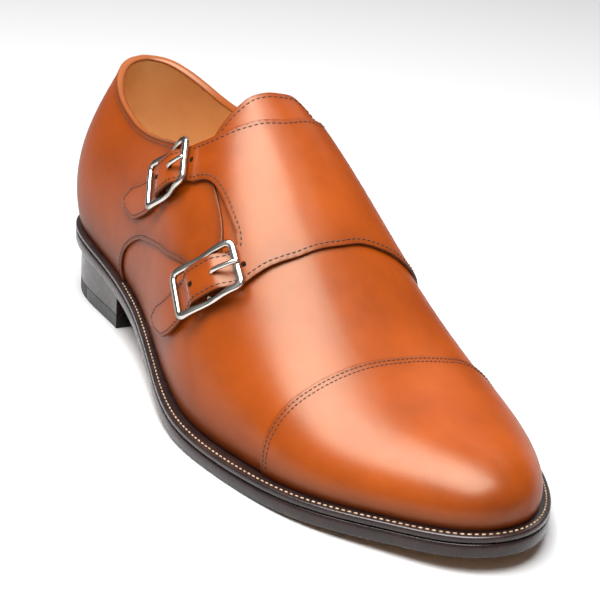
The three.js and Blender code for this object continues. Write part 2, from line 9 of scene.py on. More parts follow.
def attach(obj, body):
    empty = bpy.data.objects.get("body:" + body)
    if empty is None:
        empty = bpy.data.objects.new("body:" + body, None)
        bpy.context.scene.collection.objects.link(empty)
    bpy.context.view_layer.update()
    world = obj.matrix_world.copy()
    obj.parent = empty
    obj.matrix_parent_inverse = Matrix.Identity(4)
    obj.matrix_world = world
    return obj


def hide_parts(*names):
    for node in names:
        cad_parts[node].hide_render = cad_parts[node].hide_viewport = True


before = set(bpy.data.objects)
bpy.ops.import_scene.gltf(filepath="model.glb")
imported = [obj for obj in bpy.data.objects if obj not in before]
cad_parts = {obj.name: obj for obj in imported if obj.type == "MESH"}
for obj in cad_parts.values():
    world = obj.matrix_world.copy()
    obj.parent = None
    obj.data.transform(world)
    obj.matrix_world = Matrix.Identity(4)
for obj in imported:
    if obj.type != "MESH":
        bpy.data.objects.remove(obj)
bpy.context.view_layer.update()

MM = 0.001

# ---- Floor, light and camera --------------------------------------------------------------------
# A pale seamless floor under large soft lamps. The camera stands in front of the toe on the outer
# side of the shoe, a little above it, close enough for the toe to look larger than the heel.

scene = bpy.context.scene
scene.view_settings.view_transform = "Standard"
scene.view_settings.look = "None"

CAMERA_PLACE = Vector((0.5408, -0.2950, 0.2822))
CAMERA_AXES = {"azimuth": 55.89, "elevation": 14.78, "roll": 5.29}
LOOK_AT = Vector((0.022, -0.004, 0.047))
FOCAL_MM = 104.0


def camera_rotation():
    """The camera's turn: level bearings with their roll, swung the short way onto the shoe."""
    az, el, roll = (math.radians(CAMERA_AXES[k]) for k in ("azimuth", "elevation", "roll"))
    back = Vector((math.sin(az) * math.cos(el), -math.cos(az) * math.cos(el), math.sin(el)))
    right = Vector((0, 0, 1)).cross(back).normalized()
    up = back.cross(right)
    right, up = (math.cos(roll) * right + math.sin(roll) * up,
                 -math.sin(roll) * right + math.cos(roll) * up)
    turn = Matrix((right, up, back)).transposed()
    wanted = (CAMERA_PLACE - LOOK_AT).normalized()
    return back.rotation_difference(wanted).to_matrix() @ turn


camera = bpy.data.objects.new("camera", bpy.data.cameras.new("camera"))
camera.data.lens = FOCAL_MM
camera.data.sensor_width = 36
camera.data.clip_start = 0.01
camera.matrix_world = Matrix.Translation(CAMERA_PLACE) @ camera_rotation().to_4x4()
scene.collection.objects.link(camera)
scene.camera = camera

FLOOR_SIZE = 12.0
floor_mesh = bmesh.new()
bmesh.ops.create_grid(floor_mesh, x_segments=2, y_segments=2, size=FLOOR_SIZE / 2)
floor_data = bpy.data.meshes.new("floor")
floor_mesh.to_mesh(floor_data)
floor_mesh.free()
floor = bpy.data.objects.new("floor", floor_data)
scene.collection.objects.link(floor)
floor_finish = bpy.data.materials.new("pale_floor")
floor_finish.use_nodes = True
floor_shader = floor_finish.node_tree.nodes["Principled BSDF"]
floor_shader.inputs["Roughness"].default_value = 0.55
floor_tone = floor_finish.node_tree.nodes.new("ShaderNodeTexNoise")
floor_tone.inputs["Scale"].default_value = 3.0
floor_ramp = floor_finish.node_tree.nodes.new("ShaderNodeValToRGB")
floor_ramp.color_ramp.elements[0].color = (0.50, 0.50, 0.505, 1)
floor_ramp.color_ramp.elements[1].color = (0.53, 0.53, 0.53, 1)
floor_finish.node_tree.links.new(floor_tone.outputs["Fac"], floor_ramp.inputs["Fac"])
floor_finish.node_tree.links.new(floor_ramp.outputs["Color"], floor_shader.inputs["Base Color"])
floor_data.materials.append(floor_finish)

# One row a lamp: place, the point it faces, width and height in metres, power in watts.
LAMPS = {
    "overhead_softbox": ((0.1, -0.25, 1.15), (0.02, 0, 0.05), 1.2, 0.9, 46),
    "back_softbox": ((-0.7, 0.8, 0.9), (0, 0, 0.04), 1.0, 0.7, 3),
    "outer_fill": ((0.3, -1.5, 0.9), (0, 0, 0.05), 1.6, 1.0, 1),
}
for lamp_name, (place, target, width, height, watts) in LAMPS.items():
    lamp_data = bpy.data.lights.new(lamp_name, "AREA")
    lamp_data.shape = "RECTANGLE"
    lamp_data.size, lamp_data.size_y, lamp_data.energy = width, height, watts
    lamp = bpy.data.objects.new(lamp_name, lamp_data)
    lamp.location = place
    lamp.rotation_euler = (Vector(place) - Vector(target)).to_track_quat("Z", "Y").to_euler()
    scene.collection.objects.link(lamp)
world = bpy.data.worlds.new("studio")
world.use_nodes = True
world.node_tree.nodes["Background"].inputs["Color"].default_value = (1, 1, 1, 1)
world.node_tree.nodes["Background"].inputs["Strength"].default_value = 0.2
scene.world = world

# ---- Upper: vamp and lining -----------------------------------------------------------------------
# Calf vamp and counter with a calf lining inside, pulled wet over the last and sewn to the welt
# all round. Every leather piece over it is cut from the same surface of the last.

# One row a section, heel to toe: feather line outer x, y, inner x, y and z; ridge x, y, z;
# bulge, rise and lean of the outer and the inner side; dip at the ridge. Millimetres.
SECTIONS = np.array([
    (-149, 0, -149, 0, 31.5, -131, 0, 136, 11.5, 11.5, .42, .42, .30, .30, .42),
    (-143, -26, -143, 21, 31.5, -124, 0, 136, 11.5, 11.5, .44, .42, .30, .30, .38),
    (-120, -36, -120, 30, 31, -106, 0, 136, 10, 10, .37, .38, .35, .35, .38),
    (-86, -34, -86, 29.5, 26.5, -82, 0, 136, 9, 8.5, .36, .36, .42, .42, .34),
    (-49, -37, -49, 26, 21, -60, 0, 134, 10, 10, .34, .37, .50, .50, .21),
    (-12, -46, -14, 35, 14, -28.5, 0, 124, 9.5, 14, .34, .42, .55, .60, .05),
    (24.5, -54, 20, 43.5, 8, 9, 0, 99.5, 7.5, 9, .36, .38, .55, .56, .02),
    (59, -48, 55, 50, 7.5, 46, .3, 64, 7, 5, .45, .45, .57, .55, 0),
    (94, -41, 92, 49, 9, 80.5, 2.2, 39.5, 6, 5, .53, .55, .58, .58, 0),
    (122, -22, 121, 37, 11.5, 109, 5, 35.3, 4.5, 3.5, .55, .55, .55, .55, 0),
    (142, -9, 141, 22.5, 13.5, 126.5, 7, 33.5, 4, 3.5, .60, .60, .55, .55, 0),
    (148, 8, 148, 8, 14.5, 132.5, 8, 32, 4, 4, .62, .62, .55, .55, 0),
], float)
COLUMN_NAMES = ("x_out", "y_out", "x_in", "y_in", "z_feather", "x_ridge", "y_ridge", "z_ridge",
                "bulge_out", "bulge_in", "rise_out", "rise_in", "lean_out", "lean_in", "dip")
LAST_END = len(SECTIONS) - 1
FRAME_SHIFT = np.array((0.54, 1.03, 0.0))  # middle of the shoe's box to the origin


def mirror_of(name):
    if name.endswith("_out"):
        return name.replace("_out", "_in")
    return name.replace("_in", "_out") if name.endswith("_in") else name


COLUMNS = {}
for number, name in enumerate(COLUMN_NAMES):
    far = SECTIONS[:, COLUMN_NAMES.index(mirror_of(name))]
    COLUMNS[name] = np.concatenate([[far[1]], SECTIONS[:, number], [far[-2]]])


def along(name, s):
    """A section value at s sections from the heel, by a uniform cubic B-spline."""
    v = COLUMNS[name]
    i = np.clip(np.floor(s).astype(int), 0, LAST_END - 1)
    f = s - i
    return ((1 - f) ** 3 * v[i] + (3 * f ** 3 - 6 * f * f + 4) * v[i + 1]
            + (-3 * f ** 3 + 3 * f * f + 3 * f + 1) * v[i + 2] + f ** 3 * v[i + 3]) / 6


RIDGE_ROUND = 0.14


def rib_point(s, down, side):
    """Points of one side, a share of the way down from the ridge to the feather line."""
    z0, xr, yr, zr = (along(k, s) for k in ("z_feather", "x_ridge", "y_ridge", "z_ridge"))
    x0, y0, dip = along("x" + side, s), along("y" + side, s), along("dip", s)
    a, b = np.clip(s - 1e-3, 0, LAST_END), np.clip(s + 1e-3, 0, LAST_END)
    slope = (along("z_ridge", b) - along("z_ridge", a)) / (along("x_ridge", b) - along("x_ridge", a))
    width = np.hypot(x0 - xr, y0 - yr)
    ux, uy, rise = (x0 - xr) / width, (y0 - yr) / width, zr - z0
    bulge, reach = along("bulge" + side, s), along("lean" + side, s) * width
    feather = np.stack([x0, y0, z0], -1)
    low = np.stack([x0 + ux * bulge, y0 + uy * bulge, z0 + along("rise" + side, s) * rise], -1)
    high = np.stack([xr + ux * reach, yr + uy * reach,
                     zr - dip * rise + slope * ux * reach * (1 - np.minimum(1, dip / .1))], -1)
    ridge = np.stack([xr, yr, zr], -1)
    t = (1 - down)[..., None]
    return ((1 - t) ** 3 * feather + 3 * (1 - t) ** 2 * t * low
            + 3 * (1 - t) * t * t * high + t ** 3 * ridge)


def last_point(s, g):
    """Points of the last in millimetres: g runs from the outer feather line, -1, over the
    ridge, 0, to the inner feather line, 1. The two sides run into each other at the ridge."""
    s, g = np.broadcast_arrays(np.asarray(s, float), np.asarray(g, float))
    down = np.where(np.abs(g) < RIDGE_ROUND, (g * g + RIDGE_ROUND ** 2) / (2 * RIDGE_ROUND), np.abs(g))
    share = np.clip((g + RIDGE_ROUND) / (2 * RIDGE_ROUND), 0, 1)[..., None]
    share = share * share * (3 - 2 * share)
    return rib_point(s, down, "_out") * (1 - share) + rib_point(s, down, "_in") * share


def last_slopes(s, g, h=2e-3):
    """How the surface runs along s and along g, in millimetres a unit."""
    def at(a, b):
        return last_point(np.clip(a, 0, LAST_END), np.clip(b, -1, 1))
    run_s = np.clip(s + h, 0, LAST_END) - np.clip(s - h, 0, LAST_END)
    run_g = np.clip(g + h, -1, 1) - np.clip(g - h, -1, 1)
    return (at(s + h, g) - at(s - h, g)) / run_s[..., None], (at(s, g + h) - at(s, g - h)) / run_g[..., None]


def unit(v):
    return v / np.maximum(np.linalg.norm(v, axis=-1, keepdims=True), 1e-12)


def last_normal(s, g):
    s, g = np.broadcast_arrays(np.asarray(s, float), np.asarray(g, float))
    end = ((s <= 0) | (s >= LAST_END))[..., None]
    s = np.clip(s, .02, LAST_END - .02)
    n = unit(np.cross(*last_slopes(s, g)))
    return np.where(end, unit(n + unit(np.cross(*last_slopes(s, -g)))), n)


def off_last(s, g, height):
    """Points at a height off the surface of the last."""
    return last_point(s, g) + last_normal(s, g) * np.asarray(height, float)[..., None]


S_MM, G_MM = 26.0, 75.0  # rough millimetres of one unit of s and of g


def smooth_ring(corners, steps=10):
    """Closed centripetal curve through corners (s, g), as points in s and g."""
    p = np.array(corners, float) * (S_MM, G_MM)
    rows = []
    for i in range(len(p)):
        a, b, c, d = p[i - 1], p[i], p[(i + 1) % len(p)], p[(i + 2) % len(p)]
        k0, k1, k2 = (max(np.linalg.norm(v) ** 0.5, 1e-4) for v in (b - a, c - b, d - c))
        m1 = ((b - a) / k0 - (c - a) / (k0 + k1) + (c - b) / k1) * k1
        m2 = ((c - b) / k1 - (d - b) / (k1 + k2) + (d - c) / k2) * k1
        t = np.arange(steps)[:, None] / steps
        rows.append(b + m1 * t + (3 * (c - b) - 2 * m1 - m2) * t ** 2 + (2 * (b - c) + m1 + m2) * t ** 3)
    return np.concatenate(rows) / (S_MM, G_MM)


def inside_ring(ring):
    """Signed distance to a closed outline on the last, positive inside, rough millimetres."""
    p = ring * (S_MM, G_MM)
    q = np.roll(p, -1, 0)
    d = q - p

    def region(s, g):
        s, g = np.broadcast_arrays(np.asarray(s, float), np.asarray(g, float))
        x = np.stack([s.ravel() * S_MM, g.ravel() * G_MM], -1)
        near, inside = np.full(len(x), np.inf), np.zeros(len(x), bool)
        for a, b, run in zip(p, q, d):
            t = np.clip(((x - a) @ run) / (run @ run + 1e-12), 0, 1)
            near = np.minimum(near, np.hypot(*(x - a - t[:, None] * run).T))
            if a[1] != b[1]:
                over = ((a[1] > x[:, 1]) != (b[1] > x[:, 1])) & (
                    x[:, 0] < a[0] + (x[:, 1] - a[1]) * (b[0] - a[0]) / (b[1] - a[1]))
                inside ^= over
        return np.where(inside, near, -near).reshape(s.shape)
    return region


def cut_grid(region, span_s, span_g, step_s, step_g):
    """Flat grid over s and g, cut cleanly along the outline where region turns negative."""
    bm = bmesh.new()
    spans = ((span_s, step_s), (span_g, step_g))
    counts = [max(2, round((high - low) / step)) for (low, high), step in spans]
    bmesh.ops.create_grid(bm, x_segments=counts[0], y_segments=counts[1], size=0.5)
    bmesh.ops.scale(bm, vec=(span_s[1] - span_s[0], span_g[1] - span_g[0], 1), verts=bm.verts)
    bmesh.ops.translate(bm, vec=((span_s[0] + span_s[1]) / 2, (span_g[0] + span_g[1]) / 2, 0), verts=bm.verts)
    bm.verts.ensure_lookup_table()
    co = np.array([v.co for v in bm.verts])
    value = region(co[:, 0], co[:, 1])
    edges = [e for e in bm.edges if (value[e.verts[0].index] > 0) != (value[e.verts[1].index] > 0)]
    ends = np.array([(e.verts[0].index, e.verts[1].index) for e in edges]).reshape(-1, 2)
    a, b = co[ends[:, 0], :2], co[ends[:, 1], :2]
    low, high = np.zeros(len(a)), np.ones(len(a))
    for _ in range(22):
        mid = (low + high) / 2
        m = a + (b - a) * mid[:, None]
        same = (region(m[:, 0], m[:, 1]) > 0) == (value[ends[:, 0]] > 0)
        low, high = np.where(same, mid, low), np.where(same, high, mid)
    on_line, moved = [], set()
    for e, t, pa, pb in zip(edges, (low + high) / 2, a, b):
        spot = pa + (pb - pa) * t
        v0, v1 = e.verts
        near = v0 if t < .12 else v1 if t > .88 else None
        if near is None:
            continue
        if near.index not in moved:
            border = near.co.x in (span_s[0], span_s[1]) or abs(abs(near.co.y) - 1) < 1e-9
            if not border:
                near.co = (spot[0], spot[1], 0)
            moved.add(near.index)
            on_line.append(near)
    for e, t in zip(edges, (low + high) / 2):
        if .12 <= t <= .88 and not (e.verts[0].index in moved or e.verts[1].index in moved):
            on_line.append(bmesh.utils.edge_split(e, e.verts[0], t)[1])
    bmesh.ops.connect_verts(bm, verts=on_line, check_degenerate=True)
    centres = np.array([f.calc_center_median() for f in bm.faces])
    out = region(centres[:, 0], centres[:, 1]) < 0
    bmesh.ops.delete(bm, geom=[f for f, gone in zip(list(bm.faces), out) if gone], context="FACES")
    return bm


def new_piece(name, bm, materials, smooth=True):
    """A finished piece: mesh at its place, in metres, riding on the shoe."""
    bmesh.ops.remove_doubles(bm, verts=bm.verts, dist=1e-6)
    data = bpy.data.meshes.new(name)
    bm.to_mesh(data)
    bm.free()
    for material in materials:
        data.materials.append(material)
    if smooth:
        data.shade_smooth()
    piece = bpy.data.objects.new(name, data)
    scene.collection.objects.link(piece)
    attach(piece, "root")
    return piece


def sheet_of_leather(name, region, span_s, span_g, height, thick, materials, burnish_and_shade, step=(.05, .0165),
                     round_edge=0.35):
    """A piece cut from the surface of the last: grain side at height off the last."""
    bm = cut_grid(region, span_s, span_g, *step)
    co = np.array([v.co for v in bm.verts])
    s, g = co[:, 0], co[:, 1]
    place = (off_last(s, g, height(s, g)) + FRAME_SHIFT) * MM
    # Darkening kept on each vertex: burnish, and on most pieces painted shade along the welt.
    layer = bm.verts.layers.float.new("burnish_and_shade")
    for v, p, dark in zip(bm.verts, place, burnish_and_shade(s, g)):
        v.co = p
        v[layer] = dark
    # The rows of the grid run together at the front end of the ridge: one vertex takes their place.
    front_height = height(np.array(float(LAST_END)), np.array(0.0))
    front = Vector((off_last(LAST_END, 0, front_height) + FRAME_SHIFT) * MM)
    crowded = [v for v in bm.verts if (v.co - front).length < 0.9 * MM]
    if crowded:
        bmesh.ops.pointmerge(bm, verts=crowded, merge_co=front)
    piece = new_piece(name, bm, materials)
    wall = piece.modifiers.new("wall", "SOLIDIFY")
    wall.thickness, wall.offset = thick * MM, -1
    wall.material_offset, wall.material_offset_rim = 1, 2
    if round_edge:
        soft = piece.modifiers.new("rounded_edge", "BEVEL")
        soft.width, soft.segments, soft.limit_method = round_edge * MM, 2, "ANGLE"
        soft.angle_limit = math.radians(50)
    return piece


def colour_ramp(tree, fac, stops):
    """Colour ramp node on a value: stops are (position, colour)."""
    ramp = tree.nodes.new("ShaderNodeValToRGB")
    while len(ramp.color_ramp.elements) < len(stops):
        ramp.color_ramp.elements.new(0.5)
    for element, (position, colour) in zip(ramp.color_ramp.elements, stops):
        element.position, element.color = position, (*colour, 1)
    tree.links.new(fac, ramp.inputs["Fac"])
    return ramp.outputs["Color"]


def mix_colour(tree, fac, a, b, blend="MIX"):
    mix = tree.nodes.new("ShaderNodeMix")
    mix.data_type, mix.blend_type = "RGBA", blend
    for socket, value in ((mix.inputs[0], fac), (mix.inputs[6], a), (mix.inputs[7], b)):
        if hasattr(value, "is_linked"):
            tree.links.new(value, socket)
        else:
            socket.default_value = value
    return mix.outputs[2]


def noise(tree, vector, scale, detail=3.0, roughness=0.55, distortion=0.0):
    node = tree.nodes.new("ShaderNodeTexNoise")
    node.inputs["Scale"].default_value = scale
    node.inputs["Detail"].default_value = detail
    node.inputs["Roughness"].default_value = roughness
    node.inputs["Distortion"].default_value = distortion
    tree.links.new(vector, node.inputs["Vector"])
    return node.outputs["Fac"]


def math_node(tree, operation, a, b=0.0, clamp=False):
    node = tree.nodes.new("ShaderNodeMath")
    node.operation, node.use_clamp = operation, clamp
    for socket, value in ((node.inputs[0], a), (node.inputs[1], b)):
        if hasattr(value, "is_linked"):
            tree.links.new(value, socket)
        else:
            socket.default_value = value
    return node.outputs[0]


def new_group(name, inputs, outputs):
    """Empty shader group with float, colour and vector sockets, and its in and out nodes."""
    group = bpy.data.node_groups.new(name, "ShaderNodeTree")
    kinds = {"float": "NodeSocketFloat", "colour": "NodeSocketColor", "vector": "NodeSocketVector"}
    for label, kind in inputs.items():
        group.interface.new_socket(name=label, in_out="INPUT", socket_type=kinds[kind])
    for label, kind in outputs.items():
        group.interface.new_socket(name=label, in_out="OUTPUT", socket_type=kinds[kind])
    return group, group.nodes.new("NodeGroupInput"), group.nodes.new("NodeGroupOutput")


# Polished grain: fine pores and short wrinkles between them, as a height.
grain_group, grain_in, grain_out = new_group(
    "calf_grain", {"Coordinates": "vector", "Pores": "float", "Wrinkles": "float"}, {"Height": "float"})
pores = grain_group.nodes.new("ShaderNodeTexVoronoi")
pores.feature = "DISTANCE_TO_EDGE"
pores.inputs["Scale"].default_value = 1500
grain_group.links.new(grain_in.outputs["Coordinates"], pores.inputs["Vector"])
pore_height = math_node(grain_group, "MULTIPLY", math_node(
    grain_group, "MINIMUM", math_node(grain_group, "MULTIPLY", pores.outputs["Distance"], 4.0), 1.0),
    grain_in.outputs["Pores"])
wrinkle_height = math_node(grain_group, "MULTIPLY", noise(
    grain_group, grain_in.outputs["Coordinates"], 420, 4, 0.6, 0.4), grain_in.outputs["Wrinkles"])
grain_group.links.new(math_node(grain_group, "ADD", pore_height, wrinkle_height), grain_out.inputs["Height"])


def blank_material(name):
    """A new material, with its tree, its shader and the piece's own coordinates."""
    material = bpy.data.materials.new(name)
    material.use_nodes = True
    tree = material.node_tree
    place = tree.nodes.new("ShaderNodeTexCoord").outputs["Object"]
    return material, tree, tree.nodes["Principled BSDF"], place


def calf(name, bright, middle, dark, roughness=0.34, coat=0.05):
    """Polished calf: colour clouds, darkening from a vertex attribute that holds hand burnish and painted
    shade along the welt, and fine grain. Its sheen fades where the leather turns away, as waxed calf does."""
    material, tree, shader, place = blank_material(name)
    # The vertex darkening mixes burnish with painted shade along the welt.
    mark = tree.nodes.new("ShaderNodeAttribute")
    mark.attribute_name = "burnish_and_shade"
    clouds = noise(tree, place, 26, 4, 0.6)
    base = colour_ramp(tree, clouds, [(.3, middle), (.7, bright)])
    patches = math_node(tree, "ADD", math_node(tree, "MULTIPLY", noise(tree, place, 60), .7), .65)
    uneven = math_node(tree, "MULTIPLY", mark.outputs["Fac"], patches, True)
    tree.links.new(mix_colour(tree, uneven, base, (*dark, 1)), shader.inputs["Base Color"])
    worn = math_node(tree, "MULTIPLY", noise(tree, place, 180, 3), .12)
    rough = math_node(tree, "ADD", worn, roughness - .06)
    tree.links.new(rough, shader.inputs["Roughness"])
    shader.inputs["Coat Weight"].default_value = coat
    shader.inputs["Coat Roughness"].default_value = 0.28
    shader.inputs["IOR"].default_value = 1.42
    angle = tree.nodes.new("ShaderNodeLayerWeight")
    angle.inputs["Blend"].default_value = 0.5
    sheen = colour_ramp(tree, angle.outputs["Facing"],
                        [(at, (level,) * 3) for at, level in ((.28, .52), (.5, .15), (.85, .05))])
    tree.links.new(sheen, shader.inputs["Specular IOR Level"])
    shader.inputs["Coat IOR"].default_value = 1.35
    shader.inputs["Specular Tint"].default_value = (1, .96, .76, 1)
    shader.inputs["Coat Tint"].default_value = (1, .97, .85, 1)
    grain = tree.nodes.new("ShaderNodeGroup")
    grain.node_tree = grain_group
    grain.inputs["Pores"].default_value = 0.5
    grain.inputs["Wrinkles"].default_value = 0.8
    tree.links.new(place, grain.inputs["Coordinates"])
    bump = tree.nodes.new("ShaderNodeBump")
    bump.inputs["Strength"].default_value = 0.10
    bump.inputs["Distance"].default_value = 0.0002
    tree.links.new(grain.outputs["Height"], bump.inputs["Height"])
    tree.links.new(bump.outputs["Normal"], shader.inputs["Normal"])
    return material


tan_calf = calf("tan_calf", (.300, .052, .0022), (.205, .032, .0012), (.045, .0072, .0012))
cut_edge = calf("cut_edge", (.16, .045, .014), (.11, .03, .01), (.05, .012, .005), 0.5, 0.1)
lining_calf = calf("lining_calf", (.84, .54, .27), (.74, .44, .20), (.40, .18, .06), 0.6, 0.0)
CALF_SLOTS = [tan_calf, lining_calf, cut_edge]

OPENING = [
    (-1.2, .335), (0, .34), (.8, .36), (1.6, .4), (2.4, .445), (3.1, .46), (3.8, .45),
    (4.5, .4), (5.1, .35), (5.6, .31), (5.85, .2), (5.95, 0), (5.85, -.2), (5.6, -.33),
    (5.1, -.385), (4.5, -.42), (3.8, -.46), (3.1, -.475), (2.4, -.45), (1.6, -.405),
    (.8, -.36), (0, -.34), (-1.2, -.335),
]
opening = inside_ring(smooth_ring(OPENING))


def welt_shade_and_end_burnish(s, g):
    """Painted shade in a band along the welt, where the upper meets it, and burnish a little round the heel
    and the toe.
    """
    welt = .85 * np.exp(-np.maximum(0, (1 - np.abs(g)) * 75 - 1) / 6)
    ends = .42 * np.clip((3.4 - s) / 3.4, 0, 1) + .25 * np.clip((s - 9.2) / 1.8, 0, 1)
    return np.maximum(welt, ends)


WALL = 1.8
upper = sheet_of_leather(
    "vamp_and_lining", lambda s, g: -opening(s, g), (0, LAST_END), (-1, 1),
    lambda s, g: np.zeros_like(s), WALL, CALF_SLOTS, welt_shade_and_end_burnish, step=(.06, .02))
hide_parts("upper")

# ---- Toe cap --------------------------------------------------------------------------------------
# Straight calf cap lapped over the front of the vamp and held by two rows of stitches.

CAP_LINE = [
    (7.44, -1.4), (7.44, -1), (7.45, -.75), (7.5, -.58), (7.6, -.4), (7.71, -.22), (7.81, -.06),
    (7.83, .06), (7.75, .24), (7.62, .42), (7.56, .6), (7.52, .8), (7.5, 1), (7.5, 1.4), (13, 1.4),
    (13, -1.4),
]
cap_ring = smooth_ring(CAP_LINE)
cap_region = inside_ring(cap_ring)
CAP_THICK = 0.8


def cap_burnish_and_welt_shade(s, g):
    """Burnish darker along the seam as well, over the painted shade along the welt."""
    return np.maximum(welt_shade_and_end_burnish(s, g), .35 * np.exp(-np.maximum(cap_region(s, g), 0) / 3))


toe_cap = sheet_of_leather(
    "toe_cap", cap_region, (7, LAST_END), (-1, 1), lambda s, g: np.full_like(s, CAP_THICK + .05),
    CAP_THICK, CALF_SLOTS, cap_burnish_and_welt_shade, step=(.045, .0165), round_edge=0.25)
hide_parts("toe_cap")


def path_on_last(ring, inset):
    """Points (s, g) of an outline moved inwards by inset millimetres measured on the leather."""
    run = np.roll(ring, -1, 0) - np.roll(ring, 1, 0)
    ds, dg = last_slopes(np.clip(ring[:, 0], .02, LAST_END - .02), np.clip(ring[:, 1], -.99, .99))
    along_edge = unit(ds * run[:, :1] + dg * run[:, 1:])
    normal = unit(np.cross(ds, dg))
    turn = np.sum((ring[:, 0] * np.roll(ring[:, 1], -1) - np.roll(ring[:, 0], -1) * ring[:, 1]))
    inwards = np.cross(normal, along_edge) * np.sign(turn)
    a, b, c = (ds * ds).sum(-1), (ds * dg).sum(-1), (dg * dg).sum(-1)
    p, q = (ds * inwards).sum(-1) * inset, (dg * inwards).sum(-1) * inset
    det = a * c - b * b
    return ring + np.stack([(c * p - b * q) / det, (a * q - b * p) / det], -1)


def spaced(points, pitch):
    """Even marks along a path, as places in its list of points."""
    length = np.concatenate([[0], np.cumsum(np.linalg.norm(np.diff(points, axis=0), axis=1))])
    count = max(2, int(length[-1] / pitch))
    return np.interp((np.arange(count) + .5) / count * length[-1], length, np.arange(len(points)))


def take(values, at):
    """Values between the rows of a list, at places from spaced()."""
    low = np.clip(np.floor(at).astype(int), 0, len(values) - 2)
    f = (at - low)[:, None]
    return values[low] * (1 - f) + values[low + 1] * f


def stitches(name, rows, material, pitch=2.2, length=1.6, thick=.58):
    """Rows of sewn stitches. A row is a list of points and normals in millimetres."""
    bm = bmesh.new()
    for points, normals in rows:
        at = spaced(points, pitch)
        centres, ups = take(points, at), unit(take(normals, at))
        fronts = unit(take(points, np.minimum(at + .05, len(points) - 1))
                      - take(points, np.maximum(at - .05, 0)))
        for centre, up, front in zip(centres, ups, fronts):
            side = np.cross(up, front)
            frame_of = np.column_stack([front * length / 2, side * thick / 2, up * thick / 2])
            matrix = (Matrix.Translation(Vector((centre + FRAME_SHIFT) * MM)) @ Matrix(frame_of * MM).to_4x4()
                      @ Matrix.Rotation(math.radians(90), 4, "Y"))
            bmesh.ops.create_uvsphere(bm, u_segments=6, v_segments=4, radius=1, matrix=matrix)
    piece = new_piece(name, bm, [material])
    return piece


def finish(name, grain, stops, roughness, bump=None, **values):
    """Material coloured by a noise ramp. grain: scale and detail of the noise; roughness: a value,
    or scale, share and least of a noisy one; bump: strength and noise; values: other sockets."""
    material, tree, shader, place = blank_material(name)
    tree.links.new(colour_ramp(tree, noise(tree, place, *grain), stops), shader.inputs["Base Color"])
    if isinstance(roughness, tuple):
        scale, share, least = roughness
        uneven = math_node(tree, "MULTIPLY", noise(tree, place, scale), share)
        tree.links.new(math_node(tree, "ADD", uneven, least), shader.inputs["Roughness"])
    else:
        shader.inputs["Roughness"].default_value = roughness
    if bump:
        relief = tree.nodes.new("ShaderNodeBump")
        relief.inputs["Strength"].default_value = bump[0]
        relief.inputs["Distance"].default_value = 0.0003
        tree.links.new(noise(tree, place, *bump[1:]), relief.inputs["Height"])
        tree.links.new(relief.outputs["Normal"], shader.inputs["Normal"])
    for socket, value in values.items():
        shader.inputs[socket.replace("_", " ")].default_value = value
    return material


def thread(name, colour, light):
    """Waxed thread, a little lighter on its twisted ridges."""
    return finish(name, (900,), [(.35, colour), (.65, light)], 0.6)


brown_thread = thread("brown_thread", (.045, .015, .008), (.085, .028, .013))


def row_on_last(path, height):
    s, g = path[:, 0], path[:, 1]
    return off_last(s, g, height(s, g)), last_normal(s, g)


CAP_SEAM = {"insets": (1.4, 3.0), "hem": .985, "back": 8.2}
cap_rows = []
for inset in CAP_SEAM["insets"]:
    moved = path_on_last(cap_ring, inset)
    moved = moved[(np.abs(moved[:, 1]) < CAP_SEAM["hem"]) & (moved[:, 0] < CAP_SEAM["back"])]
    cap_rows.append(row_on_last(moved, lambda s, g: np.full_like(s, CAP_THICK + .1)))
stitches("toe_cap_stitches", cap_rows, brown_thread, pitch=1.8, length=1.35, thick=.5)

# ---- Outer quarter --------------------------------------------------------------------------------
# Calf quarter of the outer side. Its arched front edge is sewn down on the vamp, and both buckles
# are held on it by short loops that the straps hide.

QUARTER_OUTER = [
    (-1.2, -1.4), (-1.2, -.335), (0, -.34), (.8, -.36), (1.6, -.405), (2.4, -.45), (3.1, -.475),
    (3.8, -.46), (4.5, -.42), (5.1, -.385), (5.6, -.39), (5.9, -.43), (6, -.5), (5.85, -.57),
    (5.5, -.6), (5.05, -.655), (4.5, -.705), (3.95, -.765), (3.55, -.86), (3.4, -.95), (3.42, -1.05),
    (3.4, -1.4),
]
quarter_ring = smooth_ring(QUARTER_OUTER)
quarter_region = inside_ring(quarter_ring)
QUARTER_TOP, QUARTER_THICK = 1.3, 1.0
ARCH_SEAM_INSET, TOP_SEAM_INSET = 1.6, 2.0


def quarter_height(s, g):
    return np.full_like(s, QUARTER_TOP - .2)


def quarter_burnish_and_welt_shade(s, g):
    # Burnish along the edges, a little darker all over, and the painted shade along the welt.
    edge = .6 * np.exp(-np.maximum(quarter_region(s, g), 0) / 2.5)
    return np.maximum(np.maximum(welt_shade_and_end_burnish(s, g), edge), .12)


quarter_outer = sheet_of_leather(
    "outer_quarter", quarter_region, (0, 6.4), (-1, -.3), quarter_height, QUARTER_THICK, CALF_SLOTS,
    quarter_burnish_and_welt_shade, step=(.045, .0145))
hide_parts("quarter_outer")
arch_path = path_on_last(quarter_ring, ARCH_SEAM_INSET)
arch_path = arch_path[(arch_path[:, 1] < -.5) & (arch_path[:, 1] > -.97) & (arch_path[:, 0] > 3)]
top_path = path_on_last(quarter_ring, TOP_SEAM_INSET)
top_path = top_path[(top_path[:, 1] > -.5) & (top_path[:, 0] > .02) & (top_path[:, 0] < 5)]
stitches("outer_quarter_stitches",
         [row_on_last(path, lambda s, g: quarter_height(s, g) + .05) for path in (arch_path, top_path)],
         brown_thread)

# ---- Tongue ---------------------------------------------------------------------------------------
# Calf tongue lined with calf, cut in one with the vamp; it shows above the flap.

